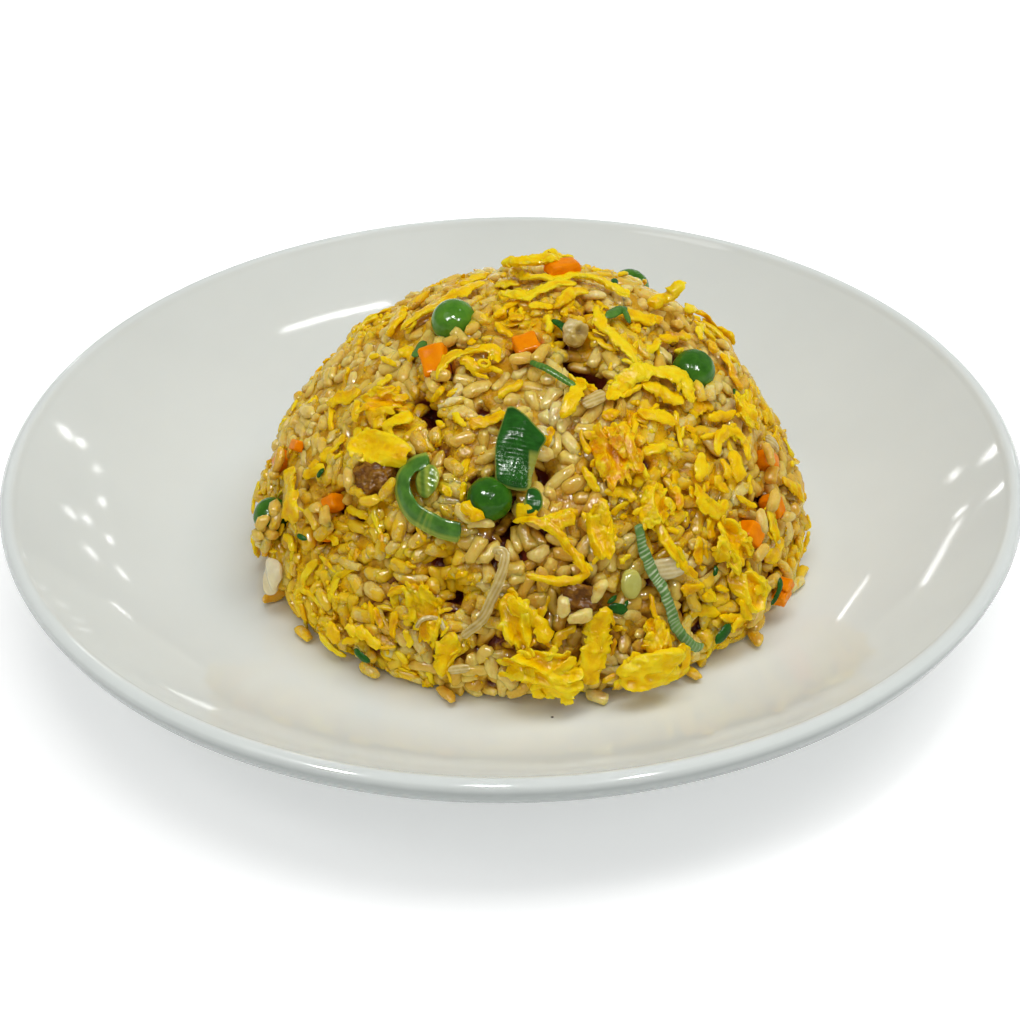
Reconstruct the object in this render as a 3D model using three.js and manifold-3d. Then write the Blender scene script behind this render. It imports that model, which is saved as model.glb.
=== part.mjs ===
// A plate of egg fried rice: a round white coupe plate, a dome of rice turned out
// of a bowl, and the toppings that show on it: peas, carrot dice, scallion,
// white leek, pork and pieces of scrambled egg. Millimetres, +Z up. The origin is
// on the table, under the middle of the plate.
import * as THREE from 'three';
import { mergeVertices } from 'three/addons/utils/BufferGeometryUtils.js';
import { RoundedBoxGeometry } from 'three/addons/geometries/RoundedBoxGeometry.js';
import Module from 'manifold-3d';

const wasm = await Module();
wasm.setup();

// ---------- driving dimensions ----------
const PLATE_R = 120;        // outer radius of the plate
const RIM_Z = 32;           // top of the lip
const WELL_Z = 9;           // glazed floor of the plate
const WELL_R = 78;          // flat part of the floor
const LIP_IN = 116.2;       // inner edge of the rounded lip
const FOOT_R = 62;          // middle of the foot ring
const FOOT_W = 4.6;         // width of the foot ring where it stands
const FOOT_H = 4.2;         // clear height under the floor inside the ring
const WALL = 5.0;           // thickness of the wall
const PLATE_SIDES = 44;

const GAP = 0.3;            // between pieces that touch
const DOME_X = 5.15;        // axis of the rice dome
const DOME_Y = -4.8;
const DOME_R = 68;          // radius at the foot
const DOME_H = 65;          // height above the floor of the plate
const DOME_N1 = 2.11;       // roundness across
const DOME_N2 = 1.6;        // roundness upwards: under 2 is pointed
const DOME_TUCK = 0.053;    // how far the foot draws in
const DOME_TUCK_H = 0.18;
const DOME_LEAN = 9;        // how much fuller the top is on its right side
const DOME_SIDES = 40;
const DOME_RINGS = 12;
const RELIEF = 0.6;         // unevenness of the heap

const O = new THREE.Vector3(DOME_X, DOME_Y, WELL_Z);
const ZB = WELL_Z + GAP;    // underside of the heap
const rad = THREE.MathUtils.degToRad;
const UP = new THREE.Vector3(0, 0, 1);

// hollows between clumps of rice: direction (azimuth, height angle), radius, depth
const HOLLOWS = [
  [-61, 69.5, 5.0, 4.5], [-64, 64.5, 4.5, 4.5], [-135, 56, 4.5, 4.5], [-97, 38.5, 4.5, 3.5],
  [-88.5, 46.5, 4.0, 3.0], [-108, 21, 5.5, 3.5], [-112, 27, 4.0, 2.5],
  [38, 47, 4.5, 4.0], [96, 33, 4.5, 3.5], [-176, 44, 4.5, 3.5], [64, 62, 4.0, 3.0],
  [140, 55, 4.5, 3.5], [9, 25, 4.5, 3.0], [125, 18, 4.0, 3.0],
];

// ---------- small helpers ----------
function rng(seed) {
  let s = (seed * 2654435761) >>> 0 || 1;
  return () => {
    s ^= s << 13; s >>>= 0; s ^= s >>> 17; s ^= s << 5; s >>>= 0;
    return s / 4294967296;
  };
}

function dirOf(phi, theta) {
  const p = rad(phi), t = rad(theta);
  return new THREE.Vector3(Math.cos(t) * Math.cos(p), Math.cos(t) * Math.sin(p), Math.sin(t));
}

// the smooth dome: negative inside
function domeField(x, y, z) {
  const h = (z - WELL_Z) / DOME_H, r = Math.hypot(x - DOME_X, y - DOME_Y);
  const low = Math.min(Math.max(1 - h / DOME_TUCK_H, 0), 1);
  const t = 1 - DOME_TUCK * low * low;
  return Math.pow(r / (DOME_R * t), DOME_N1) + Math.sign(h) * Math.pow(Math.abs(h), DOME_N2) - 1;
}

function domeRadius(d) {
  let lo = 10, hi = 130;
  for (let i = 0; i < 40; i++) {
    const m = (lo + hi) / 2;
    if (domeField(O.x + d.x * m, O.y + d.y * m, O.z + d.z * m) < 0) lo = m; else hi = m;
  }
  return lo;
}

function domeNormal(d) {
  const r = domeRadius(d), e = 0.01;
  const p = O.clone().addScaledVector(d, r);
  const n = new THREE.Vector3(
    domeField(p.x + e, p.y, p.z) - domeField(p.x - e, p.y, p.z),
    domeField(p.x, p.y + e, p.z) - domeField(p.x, p.y - e, p.z),
    domeField(p.x, p.y, p.z + e) - domeField(p.x, p.y, p.z - e));
  return n.normalize();
}

function relief(d) {
  const x = d.x * 68, y = d.y * 68, z = d.z * 68;
  let h = Math.sin(x * 0.21 + 1.3 * Math.sin(y * 0.11)) * Math.cos(z * 0.19 + 0.7);
  h += 0.8 * Math.sin(y * 0.33 + 2.1) * Math.sin(z * 0.29 + x * 0.17);
  h += 0.6 * Math.sin(x * 0.47 - z * 0.41 + 0.4) * Math.cos(y * 0.52 + 1.9);
  h = h * RELIEF + DOME_LEAN * d.x * Math.pow(Math.max(d.z, 0), 6);
  for (const [p, t, r, deep] of HOLLOWS) {
    const q = dirOf(p, t).multiplyScalar(68).distanceTo(new THREE.Vector3(x, y, z)) / r;
    if (q < 2.5) h -= deep * Math.exp(-q * q);
  }
  return h;
}

function surface(d) {
  return O.clone().addScaledVector(d, domeRadius(d) + relief(d));
}

// local frame on the dome: a runs along the piece, b across it, n outwards
function frameAt(phi, theta, spin = 0) {
  const d = dirOf(phi, theta), n = domeNormal(d);
  const p = O.clone().addScaledVector(d, domeRadius(d));
  const east = new THREE.Vector3().crossVectors(UP, n).normalize();
  const north = new THREE.Vector3().crossVectors(n, east);
  const s = rad(spin);
  const a = east.clone().multiplyScalar(Math.cos(s)).addScaledVector(north, Math.sin(s));
  const b = new THREE.Vector3().crossVectors(n, a);
  return { p, n, a, b };
}

// a point u along, v across and h above the uneven dome
function onDome(f, u, v, h) {
  const q = f.p.clone().addScaledVector(f.a, u).addScaledVector(f.b, v);
  const d = q.sub(O).normalize();
  return surface(d).addScaledVector(domeNormal(d), h);
}

// ---------- meshes and solids ----------
class Skin {
  constructor() { this.v = []; this.t = []; }
  point(p) { this.v.push(p.x, p.y, p.z); return this.v.length / 3 - 1; }
  tri(a, b, c) { this.t.push(a, b, c); }
  quad(a, b, c, d) { this.t.push(a, b, c, a, c, d); }
  geometry() {
    const g = new THREE.BufferGeometry();
    g.setAttribute('position', new THREE.Float32BufferAttribute(this.v, 3));
    g.setIndex(this.t);
    return g;
  }
}

function toSolid(geometry) {
  let g = geometry.clone();
  g.deleteAttribute('normal');
  g.deleteAttribute('uv');
  g = mergeVertices(g, 1e-4);
  const pos = g.attributes.position, idx = g.index.array, tri = [];
  for (let i = 0; i < idx.length; i += 3) {
    const [a, b, c] = [idx[i], idx[i + 1], idx[i + 2]];
    if (a !== b && b !== c && a !== c) tri.push(a, b, c);
  }
  const A = new THREE.Vector3(), B = new THREE.Vector3(), C = new THREE.Vector3();
  let volume = 0;
  for (let i = 0; i < tri.length; i += 3) {
    A.fromBufferAttribute(pos, tri[i]);
    B.fromBufferAttribute(pos, tri[i + 1]);
    C.fromBufferAttribute(pos, tri[i + 2]);
    volume += A.dot(B.cross(C));
  }
  if (volume < 0) for (let i = 0; i < tri.length; i += 3) [tri[i], tri[i + 1]] = [tri[i + 1], tri[i]];
  return new wasm.Manifold(new wasm.Mesh({
    numProp: 3, vertProperties: new Float32Array(pos.array), triVerts: new Uint32Array(tri),
  }));
}

function toGeometry(solid) {
  const m = solid.getMesh();
  const g = new THREE.BufferGeometry();
  g.setAttribute('position', new THREE.BufferAttribute(new Float32Array(m.vertProperties), 3));
  g.setIndex(Array.from(m.triVerts));
  g.computeVertexNormals();
  return g;
}

function largest(solid) {
  const parts = solid.decompose();
  parts.sort((a, b) => b.volume() - a.volume());
  return parts[0];
}

// ---------- plate ----------
function plateProfile() {
  const p = [];
  const add = (r, z) => p.push(new THREE.Vector2(r, z));
  const inner = FOOT_R - FOOT_W / 2, outer = FOOT_R + FOOT_W / 2;
  add(0, FOOT_H);
  add(inner - 1.4, FOOT_H);
  add(inner, 0.4);
  add(inner + 0.5, 0);
  add(outer - 0.5, 0);
  add(outer, 0.4);
  add(outer + 2.2, FOOT_H - 0.4);
  // the outer wall follows the inner one a wall's thickness below it
  for (const r of [84, 104, 115.5]) add(r + WALL * 0.42, innerZ(r) - WALL * (0.98 - 0.25 * (r - 80) / 36));
  add(119.2, 28.1);
  add(PLATE_R, 29.9);
  add(119.4, 31.3);
  add(118.1, RIM_Z);
  add(116.9, 31.7);
  add(LIP_IN, 30.8);
  for (const r of [109, 100, 89]) add(r, innerZ(r));
  add(WELL_R, WELL_Z);
  add(0, WELL_Z);
  return p;
}

function innerZ(r) {
  const s = Math.max(r - WELL_R, 0) / (LIP_IN - WELL_R);
  return WELL_Z + (30.8 - WELL_Z) * Math.pow(s, 1.62);
}

function plateSolid() {
  const g = new THREE.LatheGeometry(plateProfile(), PLATE_SIDES);
  g.rotateX(Math.PI / 2);
  return toSolid(g);
}

// ---------- heap of rice ----------
function heapSolid() {
  const s = new Skin(), rows = [];
  for (let j = 0; j < DOME_RINGS; j++) {
    const theta = 90 * Math.pow(j / DOME_RINGS, 1.05), row = [];
    for (let i = 0; i < DOME_SIDES; i++) {
      const p = surface(dirOf(360 * (i + 0.5 * (j % 2)) / DOME_SIDES, theta));
      p.z = j === 0 ? ZB : Math.max(p.z, ZB + 0.4);
      row.push(s.point(p));
    }
    rows.push(row);
  }
  const top = s.point(surface(new THREE.Vector3(0, 0, 1)));
  const foot = s.point(new THREE.Vector3(DOME_X, DOME_Y, ZB));
  for (let i = 0; i < DOME_SIDES; i++) {
    const k = (i + 1) % DOME_SIDES;
    for (let j = 0; j + 1 < DOME_RINGS; j++) {
      const [a, b, c, d] = [rows[j][i], rows[j][k], rows[j + 1][k], rows[j + 1][i]];
      if (j % 2) { s.tri(a, b, c); s.tri(a, c, d); } else { s.tri(a, b, d); s.tri(b, c, d); }
    }
    s.tri(rows[DOME_RINGS - 1][i], rows[DOME_RINGS - 1][k], top);
    s.tri(foot, rows[0][k], rows[0][i]);
  }
  return toSolid(s.geometry());
}

// ---------- toppings ----------
// Every maker takes g, how much the piece is grown to cut its own bed with a gap.

function pea(o, g) {
  const f = frameAt(o.phi, o.theta, o.spin ?? 0);
  const geo = new THREE.IcosahedronGeometry(1, g ? 1 : 2);
  const r = (o.d / 2 + g) * (g ? 1.05 : 1);   // the coarse bed is a little larger
  const m = new THREE.Matrix4().makeBasis(f.a.clone().multiplyScalar(r), f.b.clone().multiplyScalar(r * 0.98),
    f.n.clone().multiplyScalar(r * 0.94));
  m.setPosition(f.p.clone().addScaledVector(f.n, o.lift));
  return toSolid(geo.applyMatrix4(m));
}

function dice(o, g) {
  const f = frameAt(o.phi, o.theta, o.spin ?? 0), rand = rng(o.seed);
  const [l, w, t] = [o.l + 2 * g, o.w + 2 * g, o.t + 2 * g];
  const geo = g ? new THREE.BoxGeometry(l, w, t) : new RoundedBoxGeometry(l, w, t, 1, 0.5);
  // a knife cut dice is never square: its top is shifted and its sides taper
  const sx = (rand() - 0.5) * 0.35, sy = (rand() - 0.5) * 0.35, kx = 1 - rand() * 0.22, ky = 1 - rand() * 0.22;
  const pos = geo.attributes.position;
  for (let i = 0; i < pos.count; i++) {
    const h = pos.getZ(i) / t + 0.5;
    const x = pos.getX(i) * (1 + (kx - 1) * h) + sx * h * l * 0.3;
    const y = pos.getY(i) * (1 + (ky - 1) * h * (0.5 + pos.getX(i) / l)) + sy * h * w * 0.3;
    pos.setXYZ(i, x, y, pos.getZ(i));
  }
  const tip = rad(o.tip ?? 0);
  const a = f.a.clone().multiplyScalar(Math.cos(tip)).addScaledVector(f.n, Math.sin(tip));
  const n = f.n.clone().multiplyScalar(Math.cos(tip)).addScaledVector(f.a, -Math.sin(tip));
  const m = new THREE.Matrix4().makeBasis(a, f.b, n);
  m.setPosition(f.p.clone().addScaledVector(f.n, o.lift));
  return toSolid(geo.applyMatrix4(m));
}

function lump(o, g) {
  const f = frameAt(o.phi, o.theta, o.spin ?? 0), rand = rng(o.seed);
  const geo = new THREE.IcosahedronGeometry(1, 1);
  const merged = mergeVertices((() => { geo.deleteAttribute('normal'); geo.deleteAttribute('uv'); return geo; })(), 1e-4);
  const pos = merged.attributes.position;
  for (let i = 0; i < pos.count; i++) {
    const k = 0.84 + 0.3 * rand();
    pos.setXYZ(i, pos.getX(i) * (o.l / 2 * k + g), pos.getY(i) * (o.w / 2 * k + g), pos.getZ(i) * (o.t / 2 * k + g));
  }
  const m = new THREE.Matrix4().makeBasis(f.a, f.b, f.n);
  m.setPosition(f.p.clone().addScaledVector(f.n, o.lift));
  return toSolid(merged.applyMatrix4(m));
}

// a flake: a ragged sheet laid on the heap, arched and folded, with an edge that may turn up
function flake(o, g) {
  const f = frameAt(o.phi, o.theta, o.spin ?? 0), rand = rng(o.seed);
  const sides = o.sides ?? (o.l < 12 ? 8 : 10), ragged = o.ragged ?? 0.22, fold = o.fold ?? 0.5;
  const edge = [];
  for (let i = 0; i < sides; i++) edge.push(1 - ragged * rand());
  const p0 = rand() * 6.28, p1 = rand() * 6.28;
  const height = (x, y) => o.lift + fold * Math.sin(2.6 * x + p0) * Math.cos(2.1 * y + p1) + (o.arch ?? 0) * (1 - y * y)
    + (o.turn ?? 0) * x * x * x;
  const s = new Skin(), top = [], bottom = [];
  const ring = (k, list, sign) => {
    const row = [];
    for (let i = 0; i < sides; i++) {
      const a = 2 * Math.PI * i / sides, c = Math.cos(a), q = Math.sin(a);
      const sq = Math.pow(Math.pow(Math.abs(c), 2.6) + Math.pow(Math.abs(q), 2.6), -1 / 2.6);
      const x = c * sq * edge[i] * k, y = q * sq * edge[i] * k * (1 - (o.taper ?? 0) * Math.max(c, 0));
      const half = (o.t / 2) * (k > 0.9 && out ? 0.72 : 1) + g;
      row.push(s.point(onDome(f, x * (o.l / 2 + g), y * (o.w / 2 + g), height(x, y) + sign * half)));
    }
    list.push(row);
  };
  const ct = s.point(onDome(f, 0, 0, height(0, 0) + o.t / 2 + g)), cb = s.point(onDome(f, 0, 0, height(0, 0) - o.t / 2 - g));
  const out = o.l < 12 ? 0 : 1;
  for (const k of out ? [0.58, 1] : [1]) { ring(k, top, 1); ring(k, bottom, -1); }
  for (let i = 0; i < sides; i++) {
    const k = (i + 1) % sides;
    s.tri(ct, top[0][i], top[0][k]);
    s.tri(cb, bottom[0][k], bottom[0][i]);
    if (out) {
      s.quad(top[0][i], top[1][i], top[1][k], top[0][k]);
      s.quad(bottom[0][i], bottom[0][k], bottom[1][k], bottom[1][i]);
    }
    s.quad(top[out][i], bottom[out][i], bottom[out][k], top[out][k]);
  }
  return toSolid(s.geometry());
}

// a strand: a strip of width w and thickness t along a smooth line of points
// (u to the east, v to the north, h above the heap)
function strand(o, g) {
  const f = frameAt(o.phi, o.theta);
  const line = new THREE.CatmullRomCurve3(o.line.map(([u, v, h]) => new THREE.Vector3(u, v, h ?? 0)), false, 'centripetal');
  const steps = o.steps ?? 8, s = new Skin(), rows = [];
  const at = (k) => { const q = line.getPoint(k); return onDome(f, q.x, q.y, q.z + o.lift); };
  for (let i = 0; i <= steps; i++) {
    const k = i / steps, e = 0.02;
    const c = at(k), d0 = at(Math.max(k - e, 0)), d1 = at(Math.min(k + e, 1));
    const t = d1.clone().sub(d0).normalize();
    const n = domeNormal(c.clone().sub(O).normalize());
    n.addScaledVector(t, -n.dot(t)).normalize();
    const roll = rad(o.roll ?? 0);
    const side = new THREE.Vector3().crossVectors(n, t).normalize();
    const x = side.clone().multiplyScalar(Math.cos(roll)).addScaledVector(n, Math.sin(roll));
    const y = new THREE.Vector3().crossVectors(t, x);
    const end = Math.min(1, (o.tips ?? 0.55) + (1 - (o.tips ?? 0.55)) * 4 * Math.min(k, 1 - k));
    const hw = o.w / 2 * end + g, ht = o.t / 2 + g;
    if (i === 0) c.addScaledVector(t, -g);
    if (i === steps) c.addScaledVector(t, g);
    rows.push([[1, 1], [-1, 1], [-1, -1], [1, -1]].map(([a, b]) =>
      s.point(c.clone().addScaledVector(x, a * hw).addScaledVector(y, b * ht))));
  }
  for (let i = 0; i < steps; i++) for (let k = 0; k < 4; k++) {
    const m = (k + 1) % 4;
    s.quad(rows[i][k], rows[i][m], rows[i + 1][m], rows[i + 1][k]);
  }
  s.quad(rows[0][3], rows[0][2], rows[0][1], rows[0][0]);
  s.quad(rows[steps][0], rows[steps][1], rows[steps][2], rows[steps][3]);
  return toSolid(s.geometry());
}

// ---------- what lies on the rice ----------
const PEA = { make: pea, color: 0x2f8a2c, roughness: 0.3 };
const CARROT = { make: dice, color: 0xf08418, roughness: 0.4 };
const GREEN = { color: 0x2f7a3c, roughness: 0.4 };
const WHITE = { color: 0xd9cf9c, roughness: 0.4 };
const PORK = { make: lump, color: 0xa9803f, roughness: 0.55 };
const EGG = { color: 0xf6c81e, roughness: 0.45 };

const toppings = [
  ['pea_1', PEA, { phi: -159, theta: 73.3, d: 10.4, lift: -0.6 }],
  ['pea_2', PEA, { phi: -23.7, theta: 53.9, d: 10, lift: 1.2 }],
  ['pea_3', PEA, { phi: -101.6, theta: 40.8, d: 9.8, lift: -0.6 }],
  ['pea_4', PEA, { phi: -163, theta: 15.7, d: 9.2, lift: -0.6 }],
  ['pea_5', PEA, { phi: 58, theta: 43, d: 9.7, lift: 0.2 }],

  ['carrot_1', CARROT, { phi: -140.8, theta: 64.3, l: 8.4, w: 6.6, t: 5, lift: 0, spin: -38, tip: -14, seed: 3 }],
  ['carrot_2', CARROT, { phi: -94.1, theta: 73.8, l: 6.8, w: 6.2, t: 5, lift: 0, spin: 18, tip: 10, seed: 5 }],
  ['carrot_3', CARROT, { phi: 45.8, theta: 81.4, l: 8.6, w: 5.4, t: 4, lift: 3.6, spin: -112, tip: 4, seed: 7 }],
  ['carrot_4', CARROT, { phi: -143.3, theta: 29.5, l: 5.8, w: 5, t: 4.5, lift: 0, spin: 50, seed: 9 }],
  ['carrot_5', CARROT, { phi: -142.9, theta: 22.8, l: 5.2, w: 4.6, t: 4.2, lift: -0.4, spin: 27, seed: 11 }],
  ['carrot_6', CARROT, { phi: -171.8, theta: 24, l: 6, w: 5.6, t: 4.6, lift: 0, spin: 2, seed: 13 }],
  ['carrot_7', CARROT, { phi: -38.2, theta: 21.8, l: 7, w: 6, t: 5, lift: 0.2, spin: -72, seed: 15 }],
  ['carrot_8', CARROT, { phi: -27.4, theta: 22, l: 7, w: 5.6, t: 5, lift: 0.2, spin: -94, seed: 17 }],
  ['carrot_9', CARROT, { phi: -19.9, theta: 29, l: 7, w: 5.8, t: 5, lift: 0, spin: -60, seed: 19 }],
  ['carrot_10', CARROT, { phi: 118, theta: 36, l: 7.4, w: 6.2, t: 5, lift: 0, spin: 30, tip: 12, seed: 20 }],

  ['leaf_1', { ...GREEN, make: flake }, { phi: -95, theta: 49.4, l: 18.6, w: 9.6, t: 1.4, lift: 2.0, spin: -92, seed: 21, ragged: 0.1, fold: 0.2, turn: -0.5 }],
  ['leaf_2', { ...GREEN, make: flake }, { phi: -90.6, theta: 40.4, l: 6.4, w: 4.8, t: 1.3, lift: 1.3, spin: -94, seed: 23, ragged: 0.06, fold: 0.1, sides: 8 }],
  ['scallion_curl', { ...GREEN, make: strand }, { phi: -117.9, theta: 38.3, w: 4.6, t: 1.9, lift: 1.4, tips: 0.8, roll: 28, steps: 10, line: [[-1.2, 8.2, -0.6], [-5.2, 5.4], [-6.2, 0.6, 0.4], [-2.6, -3.6, 0.6], [3.6, -5.2, 0.4], [10.4, -4.8]] }],
  ['scallion_strip', { ...GREEN, make: strand }, { phi: -64, theta: 20.4, w: 2.2, t: 1.1, lift: 1.3, tips: 0.9, steps: 8, line: [[-3.1, 15.4], [-2.3, 7.1], [0, -0.5], [1.3, -8.4], [6.5, -15.6]] }],
  ['scallion_thread', { ...GREEN, make: strand }, { phi: -81.2, theta: 64.9, w: 1.5, t: 1.1, lift: 1.5, tips: 0.9, steps: 5, line: [[-4.2, 4.2], [-0.1, -0.2], [3.9, -3.4]] }],

  ['leek_1', { ...WHITE, make: strand }, { phi: -99.7, theta: 24.3, w: 2.2, t: 0.9, lift: 1.5, tips: 0.8, steps: 8, line: [[0.9, 7.6, -0.6], [2.8, 7.4], [2.3, 2.2, 0.3], [-0.9, -6.5], [-5.6, -11.6, -0.4]] }],
  ['leek_2', { ...WHITE, make: flake }, { phi: -62.1, theta: 23.9, l: 7.4, w: 3.8, t: 1.0, lift: 0.5, spin: 16, seed: 31, ragged: 0.06, fold: 0.1, sides: 8 }],
  ['leek_3', { ...WHITE, make: flake }, { phi: -70.6, theta: 22.9, l: 6.2, w: 4.4, t: 2.2, lift: 0.5, spin: -97, seed: 33, ragged: 0.05, fold: 0.1, sides: 8 }],
  ['leek_4', { ...WHITE, make: flake }, { phi: -153, theta: 8.5, l: 8.4, w: 5.4, t: 2.2, lift: 1.2, spin: 96, seed: 37, ragged: 0.1, fold: 0.1, taper: 0.45, sides: 8 }],
  ['onion_curl', { ...WHITE, make: lump }, { phi: -59.6, theta: 74, l: 6.6, w: 5.6, t: 4.4, lift: 0.9, spin: 20, seed: 35 }],

  ['pork_1', PORK, { phi: -133.5, theta: 38.5, l: 11.4, w: 8.6, t: 6, lift: 0.2, spin: 22, seed: 41 }],
  ['pork_2', PORK, { phi: -81.5, theta: 22.3, l: 9.2, w: 7.4, t: 5, lift: 0, spin: -20, seed: 43 }],

  ['egg_01', { ...EGG, make: flake }, { phi: -134.9, theta: 43.8, l: 16, w: 8.2, t: 2.4, lift: 1.3, spin: 14, seed: 51, taper: 0.3, turn: 0.5 }],
  ['egg_02', { ...EGG, make: strand }, { phi: -45.2, theta: 56.4, w: 4.4, t: 2.2, lift: 1.4, steps: 9, line: [[-10.8, 2.9], [-3.1, 4.6], [2.9, 2.9], [7.1, -1.6], [6.3, -7.1]] }],
  ['egg_03', { ...EGG, make: flake }, { phi: -67.7, theta: 47.4, l: 17, w: 10, t: 2.4, lift: 0.9, spin: -96, seed: 53, ragged: 0.3 }],
  ['egg_04', { ...EGG, make: flake }, { phi: -69.6, theta: 7.5, l: 14.4, w: 8.8, t: 3, lift: 2.4, spin: 4, seed: 55, ragged: 0.14 }],
  ['egg_05', { ...EGG, make: flake }, { phi: -89.5, theta: 9.4, l: 17, w: 10.6, t: 2.4, lift: 1.4, spin: -6, seed: 57, ragged: 0.26 }],
  ['egg_06', { ...EGG, make: strand }, { phi: 88.7, theta: 82.5, w: 3.4, t: 2.2, lift: 3.7, steps: 6, line: [[6.2, -2.8, -1.2], [2, 0.7, 0.6], [-2.3, 0.1, 0.6], [-6.4, 0.2, -0.2]] }],
  ['egg_07', { ...EGG, make: strand }, { phi: 3, theta: 64, w: 3.2, t: 2.6, lift: 0.9, steps: 5, line: [[-1, 3, -0.8], [0, 1, 0.6], [0, -0.6, 2.4], [0.3, -1.2, 4.2]] }],
  ['egg_08', { ...EGG, make: strand }, { phi: -123.1, theta: 67, w: 2.8, t: 1.8, lift: 1.5, steps: 8, roll: -18, line: [[-4.4, -6.4], [-4.6, -2.1], [-1.1, 1.9], [3, 5], [6.2, 2.4]] }],
  ['egg_09', { ...EGG, make: flake }, { phi: -75.6, theta: 33.7, l: 13, w: 5.6, t: 2.2, lift: 1.3, spin: -92, seed: 59, ragged: 0.2 }],
  ['egg_10', { ...EGG, make: flake }, { phi: -46, theta: 22.6, l: 12.6, w: 9.6, t: 2.6, lift: 1.3, spin: -75, seed: 61, ragged: 0.26 }],
  ['egg_11', { ...EGG, make: strand }, { phi: -31.6, theta: 21.6, w: 2.8, t: 1.8, lift: 1.5, steps: 4, line: [[3.2, 4.6], [-0.1, 0.4], [-2.6, -4.6]] }],
  ['egg_12', { ...EGG, make: strand }, { phi: -32, theta: 38.5, w: 3, t: 1.8, lift: 1.2, steps: 8, line: [[-5.6, 1], [-1.3, 3.4], [3.1, 2], [3.8, -1.8], [1.4, -5]] }],
  ['egg_13', { ...EGG, make: strand }, { phi: -79.4, theta: 12.4, w: 5.4, t: 2.2, lift: 1.4, steps: 6, line: [[2.7, 9], [0.5, 2.5], [-1.1, -3], [-1.4, -8]] }],
  ['egg_14', { ...EGG, make: strand }, { phi: -106.9, theta: 10.6, w: 4.8, t: 2, lift: 1.3, steps: 4, line: [[0.9, 5.2], [-0.3, 0.4], [-1.1, -5]] }],
  ['egg_15', { ...EGG, make: flake }, { phi: -93.9, theta: 18.8, l: 12.4, w: 7, t: 2.3, lift: 1.0, spin: -79, seed: 65, ragged: 0.24 }],
  ['egg_16', { ...EGG, make: flake }, { phi: -112.3, theta: 17.4, l: 12.4, w: 9.6, t: 2.2, lift: 0.5, spin: -49, seed: 67, ragged: 0.34 }],
  ['egg_17', { ...EGG, make: flake }, { phi: -67.3, theta: 12.2, l: 9.6, w: 7.6, t: 2.2, lift: 0.9, spin: -89, seed: 69, ragged: 0.24 }],
  ['egg_18', { ...EGG, make: flake }, { phi: -62.1, theta: 36.4, l: 10, w: 7.6, t: 2.2, lift: 0.9, spin: -106, seed: 71, ragged: 0.34 }],
  ['egg_19', { ...EGG, make: strand }, { phi: -46.6, theta: 32.4, w: 3.4, t: 2, lift: 1.2, steps: 6, line: [[-2, 5], [-2.1, 0.2], [0.8, -2.8], [4.2, -1.6]] }],
  ['egg_20', { ...EGG, make: flake }, { phi: -44.6, theta: 13.6, l: 11.4, w: 9.6, t: 2.2, lift: 0.8, spin: -87, seed: 73, ragged: 0.36 }],
  ['egg_21', { ...EGG, make: strand }, { phi: -87.4, theta: 31.6, w: 2.2, t: 1.6, lift: 2.1, steps: 10, line: [[-7.5, 6.3, -0.6], [-2.4, 6.1, 0.3], [1, 4, 0.4], [5.2, -1.6, 0.2], [7.4, -5.4, -0.2], [2.1, -6.7, -0.6], [-5, -5, -0.9]] }],
  ['egg_22', { ...EGG, make: strand }, { phi: -154.6, theta: 25.4, w: 6.4, t: 2.2, lift: 1.1, steps: 5, line: [[-7, 3.5], [-3.4, 0.4], [2.3, -1.4], [6.4, -2.5]] }],
  ['egg_23', { ...EGG, make: strand }, { phi: 172.9, theta: 71.1, w: 4, t: 2.2, lift: 1.0, steps: 6, line: [[4.2, -10.3], [1.8, -3.8], [-3.3, 2.8], [-8.4, 9.5]] }],
  ['egg_24', { ...EGG, make: flake }, { phi: -145.7, theta: 51.4, l: 11.6, w: 9.4, t: 2.1, lift: 0.7, spin: 58, seed: 75, ragged: 0.34 }],
  ['egg_25', { ...EGG, make: strand }, { phi: -43.9, theta: 68.7, w: 3.2, t: 2, lift: 1.4, steps: 7, line: [[3.2, 8.6], [-0.1, 3.7], [0, 0.7], [-0.3, -4], [-1.2, -8.2]] }],
  ['egg_26', { ...EGG, make: strand }, { phi: -75.3, theta: 60.6, w: 3.2, t: 2, lift: 1.5, steps: 6, line: [[-3.8, -4.9], [-0.9, -1.9], [2.4, 2], [2.6, 5.3]] }],
  ['egg_27', { ...EGG, make: flake }, { phi: -18.7, theta: 40, l: 8.8, w: 6.8, t: 2.1, lift: 0.8, spin: -104, seed: 77, ragged: 0.24 }],
  ['egg_28', { ...EGG, make: strand }, { phi: 24, theta: 82.4, w: 3.4, t: 2.2, lift: 1.2, steps: 9, line: [[12.6, 7.1], [4.0, 6.2], [0.2, 2.5], [0.6, -3.5], [-3.4, -7], [-8.3, -11.7]] }],
  ['egg_29', { ...EGG, make: strand }, { phi: -45.8, theta: 87.9, w: 3, t: 2, lift: 1.2, steps: 5, line: [[-4.5, 7.7], [-3.1, 0.8], [2.8, -1.8], [6.3, -5.3]] }],
  ['egg_30', { ...EGG, make: strand }, { phi: -59.9, theta: 26.7, w: 2.4, t: 1.6, lift: 1.2, steps: 5, line: [[-2, 7.8], [-1.5, 2], [0.8, -3.2], [3.3, -6.8]] }],
  ['egg_31', { ...EGG, make: flake }, { phi: 84, theta: 54, l: 13.5, w: 8.6, t: 2.2, lift: 0.9, spin: 35, seed: 79, ragged: 0.26 }],
];

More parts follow.
